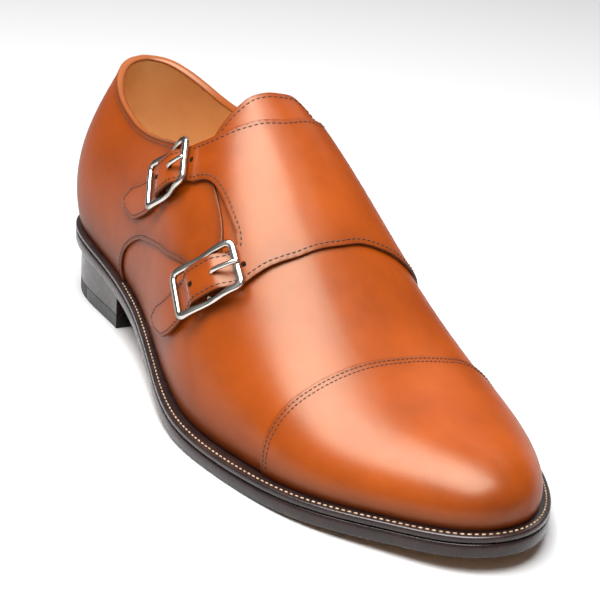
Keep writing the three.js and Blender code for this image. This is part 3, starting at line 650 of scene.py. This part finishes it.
TONGUE = [
    (5.03, -.33), (5.04, -.26), (5.12, -.15), (5.2, -.04), (5.22, .05), (5.17, .15), (5.14, .24),
    (5.2, .29), (5.6, .3), (7, .3), (7, -.34), (5.6, -.36), (5.1, -.35),
]
tongue_ring = smooth_ring(TONGUE)
tongue_region = inside_ring(tongue_ring)
TONGUE_THICK, TONGUE_SEAM_INSET = 1.9, 2.2
tongue = sheet_of_leather(
    "tongue", lambda s, g: np.minimum(opening(s, g) - .3, tongue_region(s, g)), (4.8, 6.2), (-.5, .45),
    lambda s, g: np.full_like(s, -.1), TONGUE_THICK, CALF_SLOTS,
    lambda s, g: .45 * np.exp(-np.maximum(tongue_region(s, g), 0) / 3), step=(.025, .01))
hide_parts("tongue")
tongue_path = path_on_last(tongue_ring, TONGUE_SEAM_INSET)
tongue_path = tongue_path[(tongue_path[:, 0] < 5.5) & (np.abs(tongue_path[:, 1]) < .33)]
stitches("tongue_stitches", [row_on_last(tongue_path, lambda s, g: np.full_like(s, -.05))], brown_thread)

# ---- Inner quarter with its flap and straps -------------------------------------------------------
# Calf quarter of the inner side. Its flap crosses the instep and ends in two straps, each drawn
# through its buckle: under the near end of the frame, over the middle bar, under the far end.

# Place on the last, turn of the strap from the length of the foot in radians, how far the strap's
# point lies behind the buckle's middle, how far back it stays straight and how far it then curves.
BUCKLES = {
    "upper": {"centre": (4.58, -.502), "turn": .876, "tip": 46, "straight_to": 8, "bend": 10},
    "lower": {"centre": (6.0, -.543), "turn": 1.313, "tip": 42, "straight_to": 18, "bend": 11},
}
FRAME = {"half_long": 12.9, "half_high": 8.9, "corner": 2.2, "rim": 1.35, "bar_height": 2.8,
         "centre": 3, "end": 5}


class BuckleGround:
    """Flat working plane of a buckle: w along its strap towards the flap, v across it."""

    def __init__(self, centre, turn):
        self.centre = centre
        self.origin, self.normal = last_point(*centre), last_normal(*centre)
        ahead = last_slopes(*centre)[0]
        ahead = unit(ahead - self.normal * (ahead @ self.normal))
        self.w = math.cos(turn) * ahead + math.sin(turn) * np.cross(self.normal, ahead)
        self.v = np.cross(self.normal, self.w)

    def flat(self, s, g):
        """Place on the plane, (w, v), of a place on the last."""
        q = last_point(s, g) - self.origin
        return q @ self.w, q @ self.v

    def place(self, w, v, h=1e-3):
        """Place on the last, (s, g), over a place on the plane, by Newton's steps."""
        s, g = self.centre
        for _ in range(8):
            here, ahead, across = (np.array(self.flat(*p)) for p in ((s, g), (s + h, g), (s, g + h)))
            slopes = np.column_stack([(ahead - here) / h, (across - here) / h])
            ds, dg = np.linalg.solve(slopes, np.array((w, v)) - here)
            s, g = s + ds, g + dg
        return s, g

    def at(self, w, v, height):
        return off_last(*self.place(w, v), height)

    def normal_at(self, w, v):
        return last_normal(*self.place(w, v))


grounds = {name: BuckleGround(row["centre"], row["turn"]) for name, row in BUCKLES.items()}

FLAP = [
    (-1.2, 1.4), (-1.2, .335), (0, .34), (.8, .36), (1.6, .4), (2.4, .445), (3.1, .46),
    (3.8, .45), (4.5, .395), (5.05, .31), (5.35, .22), (5.52, .1), (5.56, -.03),
    (5.42, -.152), (5.17, -.282), (5.02, -.335), (4.86, -.378), (4.73, -.412), (4.8, -.447),
    (4.93, -.467), (5.03, -.455), (5.14, -.438), (5.22, -.418), (5.35, -.39), (5.48, -.374),
    (5.69, -.367), (5.9, -.371), (6.05, -.378), (6.11, -.395), (6.08, -.425), (6.2, -.462),
    (6.34, -.46), (6.41, -.43), (6.45, -.388), (6.51, -.32), (6.58, -.254), (6.66, -.17),
    (6.73, 0), (6.7, .12), (6.63, .27), (6.5, .45), (6.25, .62), (5.9, .78), (5.5, .9),
    (5.2, 1.0), (5.1, 1.4),
]
flap_body = inside_ring(smooth_ring(FLAP))
STRAP = {"half_width": 6.8, "tip_half": 7.4, "root": 13, "point": 2, "taper": 1.9}
HUMP = {"height": 3.4, "reach": 12, "steep": 1.5}
PANEL = 1.2


def smooth_step(t):
    t = np.clip(t, 0, 1)
    return t * t * (3 - 2 * t)


def strap_middle(w, row):
    """How far the middle line of a strap has curved aside at w."""
    straight = row["straight_to"]
    return row["bend"] * (np.maximum(-w - straight, 0) / (row["tip"] - straight)) ** 2


def strap_half(w):
    """Half the width of a strap, a little wider past the buckle."""
    return STRAP["half_width"] + (STRAP["tip_half"] - STRAP["half_width"]) * smooth_step((-w - 12) / 10)


def flap_region(s, g):
    """Signed distance to the outline of the flap with its two straps."""
    s, g = np.broadcast_arrays(np.asarray(s, float), np.asarray(g, float))
    near = (g < -.2) & (s > 2) & (s < 7.2)
    strap = np.full(s.shape, -10.0)
    for name, ground in grounds.items():
        w, v = ground.flat(s, g)
        aside = np.abs(v - strap_middle(w, BUCKLES[name]))
        tip = w + BUCKLES[name]["tip"] - STRAP["taper"] * np.maximum(aside - STRAP["point"], 0)
        one = np.minimum(np.minimum(strap_half(w) - aside, tip), STRAP["root"] - w)
        strap = np.where(near, np.maximum(strap, one), strap)
    return np.maximum(flap_body(s, g), strap)


def flap_height(s, g):
    """Grain side of the flap: it climbs onto the outer quarter and humps over the middle bars."""
    s, g = np.broadcast_arrays(np.asarray(s, float), np.asarray(g, float))
    climb = np.where(g < 0, QUARTER_TOP * smooth_step((quarter_region(s, g) + 30) / 28), 0)
    hump = np.zeros_like(s)
    for ground in grounds.values():
        w, v = ground.flat(s, g)
        one = HUMP["height"] * smooth_step((1 - np.abs(w) / HUMP["reach"]) * HUMP["steep"])
        hump = np.maximum(hump, np.where((g < -.2) & (np.abs(v) < 14), one, 0))
    return .15 + climb + hump + PANEL


def flap_burnish_and_welt_shade(s, g):
    # Burnish along the edges, with the painted shade along the welt.
    return np.maximum(welt_shade_and_end_burnish(s, g), .4 * np.exp(-np.maximum(flap_region(s, g), 0) / 2.2))


flap = sheet_of_leather(
    "inner_quarter_and_flap", flap_region, (0, 7), (-1, 1), flap_height, PANEL, CALF_SLOTS,
    flap_burnish_and_welt_shade, step=(.036, .0125))
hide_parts("quarter_inner_flap")


def stretch(path, corners, first, last):
    """The part of a smooth ring between two of its corners."""
    return path[10 * corners.index(first):10 * corners.index(last) + 1]


def rows_on(path, height):
    """A path as points and normals, without the parts that leave the last."""
    keep = (np.abs(path[:, 1]) < .972) & (path[:, 0] > .01)
    return row_on_last(path[keep], height)


def above_flap(s, g):
    return flap_height(s, g) + .04


flap_seam = path_on_last(smooth_ring(FLAP), 1.9)
flap_rows = [rows_on(stretch(flap_seam, FLAP, *ends), above_flap) for ends in (
    ((0, .34), (4.86, -.378)), ((5.03, -.455), (6.11, -.395)), ((6.41, -.43), (5.2, 1.0)))]


def strap_seam(ground, row, inset=1.5):
    """Seam round a strap: back along one edge, round its point and forward along the other."""
    w = np.linspace(12, 3 - row["tip"], 60)
    half = np.minimum(strap_half(w), STRAP["point"] + (w + row["tip"]) / STRAP["taper"]) - inset
    middle = strap_middle(w, row)
    w, v = np.concatenate([w, w[::-1]]), np.concatenate([middle + half, (middle - half)[::-1]])
    s, g = np.array([ground.place(*place) for place in zip(w, v)]).T
    return row_on_last(np.stack([s, g], -1), above_flap)


flap_rows += [strap_seam(ground, BUCKLES[name]) for name, ground in grounds.items()]
stitches("flap_stitches", flap_rows, brown_thread, pitch=2.2, length=1.6, thick=.62)

# Punched holes of the straps, drawn as flat dark discs on the grain: painted shade for the holes. The prong
# comes through the middle one.
HOLE_PLACES, HOLE_RADIUS = (14.6, 5.2, -4.2), 1.05
hole_dark = finish("hole_shadow", (700,), [(.3, (.006, .003, .002)), (.8, (.03, .012, .006))], 0.9,
                   Specular_IOR_Level=0.05)
holes = bmesh.new()
for ground in grounds.values():
    for w in HOLE_PLACES:
        s, g = ground.place(w, 0)
        centre = off_last(s, g, above_flap(s, g) + .06)
        onward = ground.place(w + .4, 0)
        ahead = unit(off_last(*onward, above_flap(*onward)) - centre)
        up = unit(np.cross(ahead, np.cross(last_normal(s, g), ahead)))
        turn = Matrix(np.column_stack([ahead, np.cross(up, ahead), up]) * MM).to_4x4()
        bmesh.ops.create_circle(holes, cap_ends=True, segments=14, radius=HOLE_RADIUS,
                                matrix=Matrix.Translation(Vector((centre + FRAME_SHIFT) * MM)) @ turn)
new_piece("strap_holes", holes, [hole_dark])

# ---- Buckles --------------------------------------------------------------------------------------
# Two polished nickel frames, each cast with a flattened rim, a plain middle bar under the strap and
# a prong that comes through the strap and rests on the near end.

nickel, nickel_tree, nickel_shader, nickel_place = blank_material("polished_nickel")
# The nickel's colour follows the angle of view: painted reflections, light face on and at grazing, with a
# dark band between.
facing = nickel_tree.nodes.new("ShaderNodeLayerWeight")
facing.inputs["Blend"].default_value = 0.45
NICKEL_PAINTED_REFLECTION_TONES = [(0, (.74, .71, .66)), (.35, (.6, .57, .52)), (.62, (.12, .11, .10)), (.8, (.3, .28, .25)),
                (1, (.8, .78, .74))]
nickel_tree.links.new(colour_ramp(nickel_tree, facing.outputs["Facing"], NICKEL_PAINTED_REFLECTION_TONES),
                      nickel_shader.inputs["Base Color"])
nickel_haze = math_node(nickel_tree, "MULTIPLY", noise(nickel_tree, nickel_place, 300), .12)
nickel_tree.links.new(math_node(nickel_tree, "ADD", nickel_haze, .08), nickel_shader.inputs["Roughness"])
nickel_shader.inputs["Metallic"].default_value = 1.0


def grid_piece(name, rows, materials, wrap=False, column_material=None, smooth_to=None):
    """Surface through rows of points in millimetres; wrap joins the last column to the first."""
    if wrap:
        rows = np.concatenate([rows, rows[:, :1]], 1)
    n, m = rows.shape[:2]
    bm = bmesh.new()
    bmesh.ops.create_grid(bm, x_segments=n - 1, y_segments=m - 1, size=0.5)
    if column_material:
        for face in bm.faces:
            column = int((face.calc_center_median().y + .5) * (m - 1))
            face.material_index = column_material(column)
    for v in bm.verts:
        i, j = round((v.co.x + .5) * (n - 1)), round((v.co.y + .5) * (m - 1))
        v.co = (rows[i, j] + FRAME_SHIFT) * MM
    bmesh.ops.remove_doubles(bm, verts=bm.verts, dist=2e-6)
    bmesh.ops.dissolve_degenerate(bm, edges=bm.edges, dist=1e-6)
    bmesh.ops.recalc_face_normals(bm, faces=bm.faces)
    piece = new_piece(name, bm, materials)
    if smooth_to:
        piece.data.set_sharp_from_angle(angle=math.radians(smooth_to))
    return piece


def swept(points, ups, profile, closed, scale=None):
    """Rows of points that carry a profile (out, up) along a path."""
    if closed:
        run = unit(np.roll(points, -1, 0) - np.roll(points, 1, 0))
    else:
        run = unit(np.gradient(points, axis=0))
    out = unit(np.cross(run, ups))
    up = np.cross(out, run)
    scale = np.ones(len(points)) if scale is None else scale
    profile = np.array(profile)
    rows = (points[:, None] + out[:, None] * profile[None, :, :1] * scale[:, None, None]
            + up[:, None] * profile[None, :, 1:] * scale[:, None, None])
    return np.concatenate([rows, rows[:1]]) if closed else rows


def capped(rows):
    """Closes both ends of swept rows onto their middles."""
    first, last = rows[:1].mean(1, keepdims=True), rows[-1:].mean(1, keepdims=True)
    return np.concatenate([first.repeat(rows.shape[1], 1), rows, last.repeat(rows.shape[1], 1)])


def oval(half_out, half_up, sides=12, power=1.0):
    """Closed profile of a wire; a power under 1 squares it."""
    turn = np.arange(sides) / sides * 2 * np.pi
    out, up = (np.sign(x) * np.abs(x) ** power for x in (np.cos(turn), np.sin(turn)))
    return np.stack([half_out * out, half_up * up], -1)


def frame_height(w):
    """Height of a frame off the last: bowed, lowest over the bar."""
    t = np.minimum(np.abs(w) / (FRAME["half_long"] - 1.5), 1)
    return FRAME["centre"] + (FRAME["end"] - FRAME["centre"]) * t * t * (3 - 2 * t)


def frame_loop():
    """Points (w, v) round a buckle frame with rounded corners, evenly close."""
    long, high, corner = FRAME["half_long"], FRAME["half_high"], FRAME["corner"]
    loop = []
    for w, v, quarter in ((1, 1, 0), (-1, 1, 1), (-1, -1, 2), (1, -1, 3)):
        for k in range(9):
            turn = (quarter + k / 8) * math.pi / 2
            loop.append((w * (long - corner) + corner * math.cos(turn),
                         v * (high - corner) + corner * math.sin(turn)))
    loop = np.array(loop + loop[:1])
    length = np.concatenate([[0], np.cumsum(np.linalg.norm(np.diff(loop, axis=0), axis=1))])
    even = np.arange(96) / 96 * length[-1]
    return np.stack([np.interp(even, length, loop[:, k]) for k in (0, 1)], -1)


BAR_RADIUS, PRONG_HALF_WIDTH, PRONG_HALF_DEPTH = .8, 1.0, .8
# Along a prong: place, height off the last and share of the full width.
PRONG = [(4.0, 5.0, 1), (4.6, 5.9, 1), (5.6, 6.6, 1), (7.4, 6.95, 1), (10, 6.85, .95), (12.2, 6.95, .9),
         (13.5, 6.75, .8), (14.2, 6.2, .6)]

for name, ground in grounds.items():
    loop = frame_loop()
    points = np.array([ground.at(w, v, float(frame_height(w))) for w, v in loop])
    ups = np.array([ground.normal_at(w, v) for w, v in loop])
    rim = grid_piece("buckle_frame_" + name, swept(points, ups, oval(FRAME["rim"], 1.05, 12, .7), True),
                     [nickel], wrap=True, smooth_to=50)
    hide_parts("buckle_frame_" + name)
    reach = np.linspace(.3 - FRAME["half_high"], FRAME["half_high"] - .3, 9)
    bar = np.array([ground.at(0, v, FRAME["bar_height"]) for v in reach])
    bar_ups = np.array([ground.normal_at(0, v) for v in reach])
    grid_piece("buckle_bar_" + name, capped(swept(bar, bar_ups, oval(BAR_RADIUS, BAR_RADIUS, 10), False)),
               [nickel], wrap=True)
    prong = np.array([ground.at(w, 0, height) for w, height, _ in PRONG])
    prong_ups = np.array([ground.normal_at(w, 0) for w, _, _ in PRONG])
    slim = np.array([share for _, _, share in PRONG])
    prong_rows = swept(prong, prong_ups, oval(PRONG_HALF_WIDTH, PRONG_HALF_DEPTH, 10), False, slim)
    piece = grid_piece("buckle_prong_" + name, capped(prong_rows), [nickel], wrap=True)
    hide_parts("buckle_prong_" + name)

# ---- Topline binding ------------------------------------------------------------------------------
# Narrow strip of tan calf folded over the edge of the collar and sewn along it.

opening_ring = smooth_ring(OPENING)
collar_path = np.concatenate([stretch(opening_ring, OPENING, (5.1, -.385), (0, -.34)),
                              stretch(opening_ring, OPENING, (0, .34), (4.5, .4))[1:]])
collar_path[:, 0] = np.clip(collar_path[:, 0], 0, LAST_END)
collar = off_last(collar_path[:, 0], collar_path[:, 1], np.full(len(collar_path), -.25))
collar_ups = last_normal(np.clip(collar_path[:, 0], .001, LAST_END), collar_path[:, 1])
binding_calf = calf("binding_calf", (.24, .062, .012), (.19, .042, .008), (.07, .014, .005), 0.4, 0.25)
binding_rows = capped(swept(collar, collar_ups, oval(.75, 1.75, 12, .8), False))
grid_piece("topline_binding", binding_rows, [binding_calf], wrap=True)

# ---- Welt -----------------------------------------------------------------------------------------
# Strip of dark-dyed leather sewn to the feather of the upper all round, with one row of heavy
# stitches on its top from the waist round the toe that holds it to the outsole.

# How far the edge stands out past the feather line, section by section from heel to toe.
WELT_REACH = np.array([2.8, 3, 3.4, 3.4, 3.3, 3.8, 5, 5.6, 5.2, 4.7, 4.6, 4.6])
SOLE = {"depth": 8.1, "thick": 5.2}


def welt_reach(s):
    return np.interp(s, np.arange(len(WELT_REACH)), WELT_REACH)


def edge_point(s, side, reach):
    """Points (x, y) that stand out from the feather line; side is -1 outside and 1 inside."""
    name = "_out" if side < 0 else "_in"

    def at(k):
        return np.stack([along("x" + name, k), along("y" + name, k)], -1)
    run = unit(at(np.minimum(s + .01, LAST_END)) - at(np.maximum(s - .01, 0)))
    normal = np.stack([run[:, 1], -run[:, 0]], -1) * -side
    normal[s == 0], normal[s == LAST_END] = (-1, 0), (1, 0)
    return at(s) + normal * np.asarray(reach)[..., None]


def feather_z(s):
    return along("z_feather", s)


def sole_over(s):
    return feather_z(s) - SOLE["depth"] + SOLE["thick"]


def sole_under(s):
    return np.maximum(0, feather_z(s) - SOLE["depth"])


def round_the_shoe(steps=120):
    """Stations right round the edge: s and side, outer side forwards, inner side back."""
    s = np.linspace(0, LAST_END, steps)
    return np.concatenate([s, s[-2:0:-1]]), np.concatenate([-np.ones(steps), np.ones(steps - 2)])


def edge_ring(s, side, reach, z):
    outer, inner = edge_point(s, -1, reach), edge_point(s, 1, reach)
    return np.concatenate([np.where(side[:, None] < 0, outer, inner), np.asarray(z)[:, None]], -1)


DYE_TONES = [(.3, (.012, .006, .006)), (.55, (.020, .009, .008)), (.8, (.038, .017, .013))]
BLACK_TONES = [(.3, (.006, .0054, .0051)), (.55, (.010, .009, .0085)), (.8, (.018, .0162, .0153))]


def edge_finish(name, tones, specular):
    """Inked and waxed edge of thick leather."""
    return finish(name, (90, 4), tones, (240, .25, .16), bump=(.25, 700, 4, .6), Specular_IOR_Level=specular,
                  Coat_Weight=0.15, Coat_Roughness=0.2)


edge_dye = edge_finish("dyed_edge", DYE_TONES, 0.4)

ring_s, ring_side = round_the_shoe()
ring_reach = welt_reach(ring_s)
# Round the strip of the welt: how far in from its edge (None: under the upper), and which face.
WELT_PROFILE = ((None, "low", .3), (.5, "low", .3), (0, "low", .8), (0, "high", -.9), (.25, "high", -.45),
                (.8, "high", -.25), (None, "high", -.05))
columns = []
for inset, face, lift in WELT_PROFILE:
    reach = ring_reach - inset if inset is not None else np.full_like(ring_s, -2.0)
    z = (sole_over(ring_s) if face == "low" else feather_z(ring_s)) + lift
    columns.append(edge_ring(ring_s, ring_side, reach, z))
welt_rows = np.stack(columns, 1)
welt = grid_piece("welt", np.concatenate([welt_rows, welt_rows[:1]]), [edge_dye], wrap=True,
                  smooth_to=60)
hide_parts("welt")

welt_thread = thread("welt_thread", (.30, .19, .11), (.50, .37, .24))
SEAM_STARTS_AT, SEAM_INSET = 3.35, 1.7
sewn = ring_s > SEAM_STARTS_AT
seam_s = ring_s[sewn]
seam = edge_ring(seam_s, ring_side[sewn], welt_reach(seam_s) - SEAM_INSET, feather_z(seam_s) - .1)
stitches("welt_stitches", [(seam, np.tile((0., 0., 1.), (len(seam), 1)))], welt_thread, pitch=2.3,
         length=1.6, thick=.7)

# ---- Outsole --------------------------------------------------------------------------------------
# Sole of oak-bark leather: dark dyed edge, natural tan underneath with a closed stitch channel near
# the edge, and a row of small brass nails at the toe.

sole_leather = finish("sole_leather", (22, 5, .6),
                      [(.25, (.42, .20, .065)), (.55, (.52, .26, .085)), (.8, (.60, .32, .12))],
                      (150, .25, .3), bump=(.2, 900, 4, .6))

station = np.linspace(0, LAST_END, 120)
reach = welt_reach(station)


def level(side, inset, z):
    """One line along the rim of the sole, at a height for each station."""
    return np.concatenate([edge_point(station, side, reach - inset), z[:, None]], -1)


under, over = sole_under(station), sole_over(station)
# One row a line of the rim, inner edge to underside: inset, height above the underside or top.
SOLE_RIM = ((3, over), (.5, over), (0, over - .5), (.05, (over + under) / 2), (0, under + .9),
            (.3, under + .25), (.9, under), (5.0, under), (5.3, under + .25), (5.8, under + .25),
            (6.1, under))
outer_rim = [level(-1, inset, z) for inset, z in SOLE_RIM]
inner_rim = [level(1, inset, z) for inset, z in SOLE_RIM]
across = np.linspace(0, 1, 15)[1:-1]
bottom = [outer_rim[-1] * (1 - t) + inner_rim[-1] * t for t in across]
top = [inner_rim[0] * (1 - t) + outer_rim[0] * t for t in np.linspace(0, 1, 6)[1:-1]]
sole_rows = np.stack(outer_rim + bottom + inner_rim[::-1] + top, 1)
count = len(SOLE_RIM)


def sole_finish(column):
    """The rim is dyed, the underside is natural leather."""
    return 1 if 6 <= column < 2 * count + len(bottom) - 7 else 0


outsole = grid_piece("outsole", sole_rows, [edge_dye, sole_leather], wrap=True,
                     column_material=sole_finish, smooth_to=50)
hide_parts("outsole")

brass = finish("brass_nails", (500,), [(.3, (.42, .27, .08)), (.7, (.68, .47, .18))], 0.35, Metallic=1.0)


def nails(name, places):
    """Flush nail heads of 1.6 mm, seen from below, at places in millimetres."""
    bm = bmesh.new()
    for x, y, z in places:
        head = Matrix.Translation(Vector((x + FRAME_SHIFT[0], y + FRAME_SHIFT[1], z + .1)) * MM)
        bmesh.ops.create_cone(bm, cap_ends=True, segments=10, radius1=.7 * MM, radius2=.8 * MM,
                              depth=.3 * MM, matrix=head)
    piece = new_piece(name, bm, [brass], smooth=False)
    return piece


def nail_rows(s, inset, z):
    """A row of places on each side, inset from the edge."""
    return [np.column_stack([edge_point(s, side, welt_reach(s) - inset), z]) for side in (-1, 1)]


toe_nail_s = np.array([9.6, 10.0, 10.4])
nails("toe_nails", np.concatenate(nail_rows(toe_nail_s, 10, sole_under(toe_nail_s))))

# ---- Heel -----------------------------------------------------------------------------------------
# Stacked leather lifts dyed like the edge, a leather top piece and a black rubber tip let into its
# back corner. The inner front corner is cut away so that it cannot catch the other trouser leg.

HEEL = {"breast": -79, "top_piece": 6, "tip_joint": -121, "tip_turn": .2, "corner": (-79, 22),
        "corner_turn": .95, "taper": 2.6, "joint_gap": .05}
HEEL_FRONT_S, HEEL_STEPS = 4.2, 120


def clipped(outline, point, direction):
    """Keeps the part of a flat outline on the side that direction points to."""
    direction = np.array(direction, float)
    kept = []
    for a, b in zip(outline, np.roll(outline, -1, 0)):
        da, db = (a - point) @ direction, (b - point) @ direction
        if da >= 0:
            kept.append(a)
        if (da >= 0) != (db >= 0):
            kept.append(a + (b - a) * da / (da - db))
    return np.array(kept)


heel_s = np.linspace(HEEL_FRONT_S, 0, HEEL_STEPS)
heel_sides = [edge_point(heel_s, side, welt_reach(heel_s) - HEEL["taper"]) for side in (-1, 1)]
heel_ring = np.concatenate([heel_sides[0], heel_sides[1][-2::-1]])
heel_ring = clipped(heel_ring, (HEEL["breast"], 0), (-1, 0))
heel_ring = clipped(heel_ring, HEEL["corner"],
                    (-math.cos(HEEL["corner_turn"]), -math.sin(HEEL["corner_turn"])))
joint = np.array((math.cos(HEEL["tip_turn"]), math.sin(HEEL["tip_turn"])))
leather_ring = clipped(heel_ring, (HEEL["tip_joint"] + .15, 0), joint)
rubber_ring = clipped(heel_ring, (HEEL["tip_joint"] - .15, 0), -joint)


def block(name, outline, bottom, top, materials, rounding):
    """Upright block over a flat outline; top is a height, or a function of x that gives it. A second
    material goes on the underside."""
    bm = bmesh.new()
    bmesh.ops.create_circle(bm, cap_ends=True, segments=len(outline), radius=1)
    bm.verts.ensure_lookup_table()
    for v, (x, y) in zip(bm.verts, outline):
        v.co = Vector((x + FRAME_SHIFT[0], y + FRAME_SHIFT[1], bottom)) * MM
    made = bmesh.ops.extrude_face_region(bm, geom=bm.faces[:])["geom"]
    for v in (item for item in made if isinstance(item, bmesh.types.BMVert)):
        v.co.z = (top(v.co.x / MM - FRAME_SHIFT[0]) if callable(top) else top) * MM
    bmesh.ops.recalc_face_normals(bm, faces=bm.faces)
    bm.normal_update()
    for face in bm.faces:
        face.material_index = 1 if len(materials) > 1 and face.normal.z < -.9 else 0
    piece = new_piece(name, bm, materials, smooth=False)
    soft = piece.modifiers.new("rounded_edge", "BEVEL")
    soft.width, soft.segments, soft.limit_method = rounding * MM, 2, "ANGLE"
    soft.angle_limit = math.radians(40)
    return piece


seat_s = np.linspace(0, HEEL_FRONT_S, 60)
seat_x, seat_z = edge_point(seat_s, -1, welt_reach(seat_s))[:, 0], sole_under(seat_s)


def seat_height(x):
    """Underside of the sole over a place in the heel."""
    return float(np.interp(x, seat_x, seat_z)) - .05


stack_bottom, foot_top = HEEL["top_piece"] + HEEL["joint_gap"], HEEL["top_piece"] - HEEL["joint_gap"]
stack = block("heel_stack", heel_ring, stack_bottom, seat_height, [edge_dye], .3)
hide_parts("heel_stack")

black_dye = edge_finish("black_dyed_edge", BLACK_TONES, 0.2)
top_piece = block("heel_top_piece", leather_ring, 0, foot_top, [black_dye, sole_leather], .4)
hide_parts("heel_top_piece")

rubber = finish("black_rubber", (200,), [(.3, (.012, .012, .012)), (.8, (.035, .034, .033))], 0.6,
                bump=(.2, 1200))
tip = block("heel_rubber_tip", rubber_ring, 0, foot_top, [rubber], .4)
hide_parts("heel_rubber_tip")

# One row of nails inside each long edge of the top piece, and three in the rubber.
heel_nail_s = np.array([1.95, 2.3, 2.65, 3.0])
rubber_nails = np.array([(-134, -12, 0), (-137, 2, 0), (-135, 15, 0)])
nails("heel_nails", np.concatenate(nail_rows(heel_nail_s, 9, np.zeros(4)) + [rubber_nails]))

# ---- Insole ---------------------------------------------------------------------------------------
# Leather insole with a full calf sock glued on it, seen down through the collar.

INSOLE = {"inset": 2.4, "lift": .85, "hollow": .64, "thick": 2.2}
inside = np.linspace(0.05, LAST_END - .05, 90)
sock_reach = np.full_like(inside, -INSOLE["inset"])
sock_outer, sock_inner = (edge_point(inside, side, sock_reach) for side in (-1, 1))
sock_columns = []
for t in np.linspace(0, 1, 11):
    height = feather_z(inside) + INSOLE["lift"] - INSOLE["hollow"] * np.sin(np.pi * t)
    sock_columns.append(np.column_stack([sock_outer * (1 - t) + sock_inner * t, height]))
insole = grid_piece("insole_sock", np.stack(sock_columns, 1), [lining_calf])
insole_wall = insole.modifiers.new("wall", "SOLIDIFY")
insole_wall.thickness, insole_wall.offset = INSOLE["thick"] * MM, -1
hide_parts("insole")
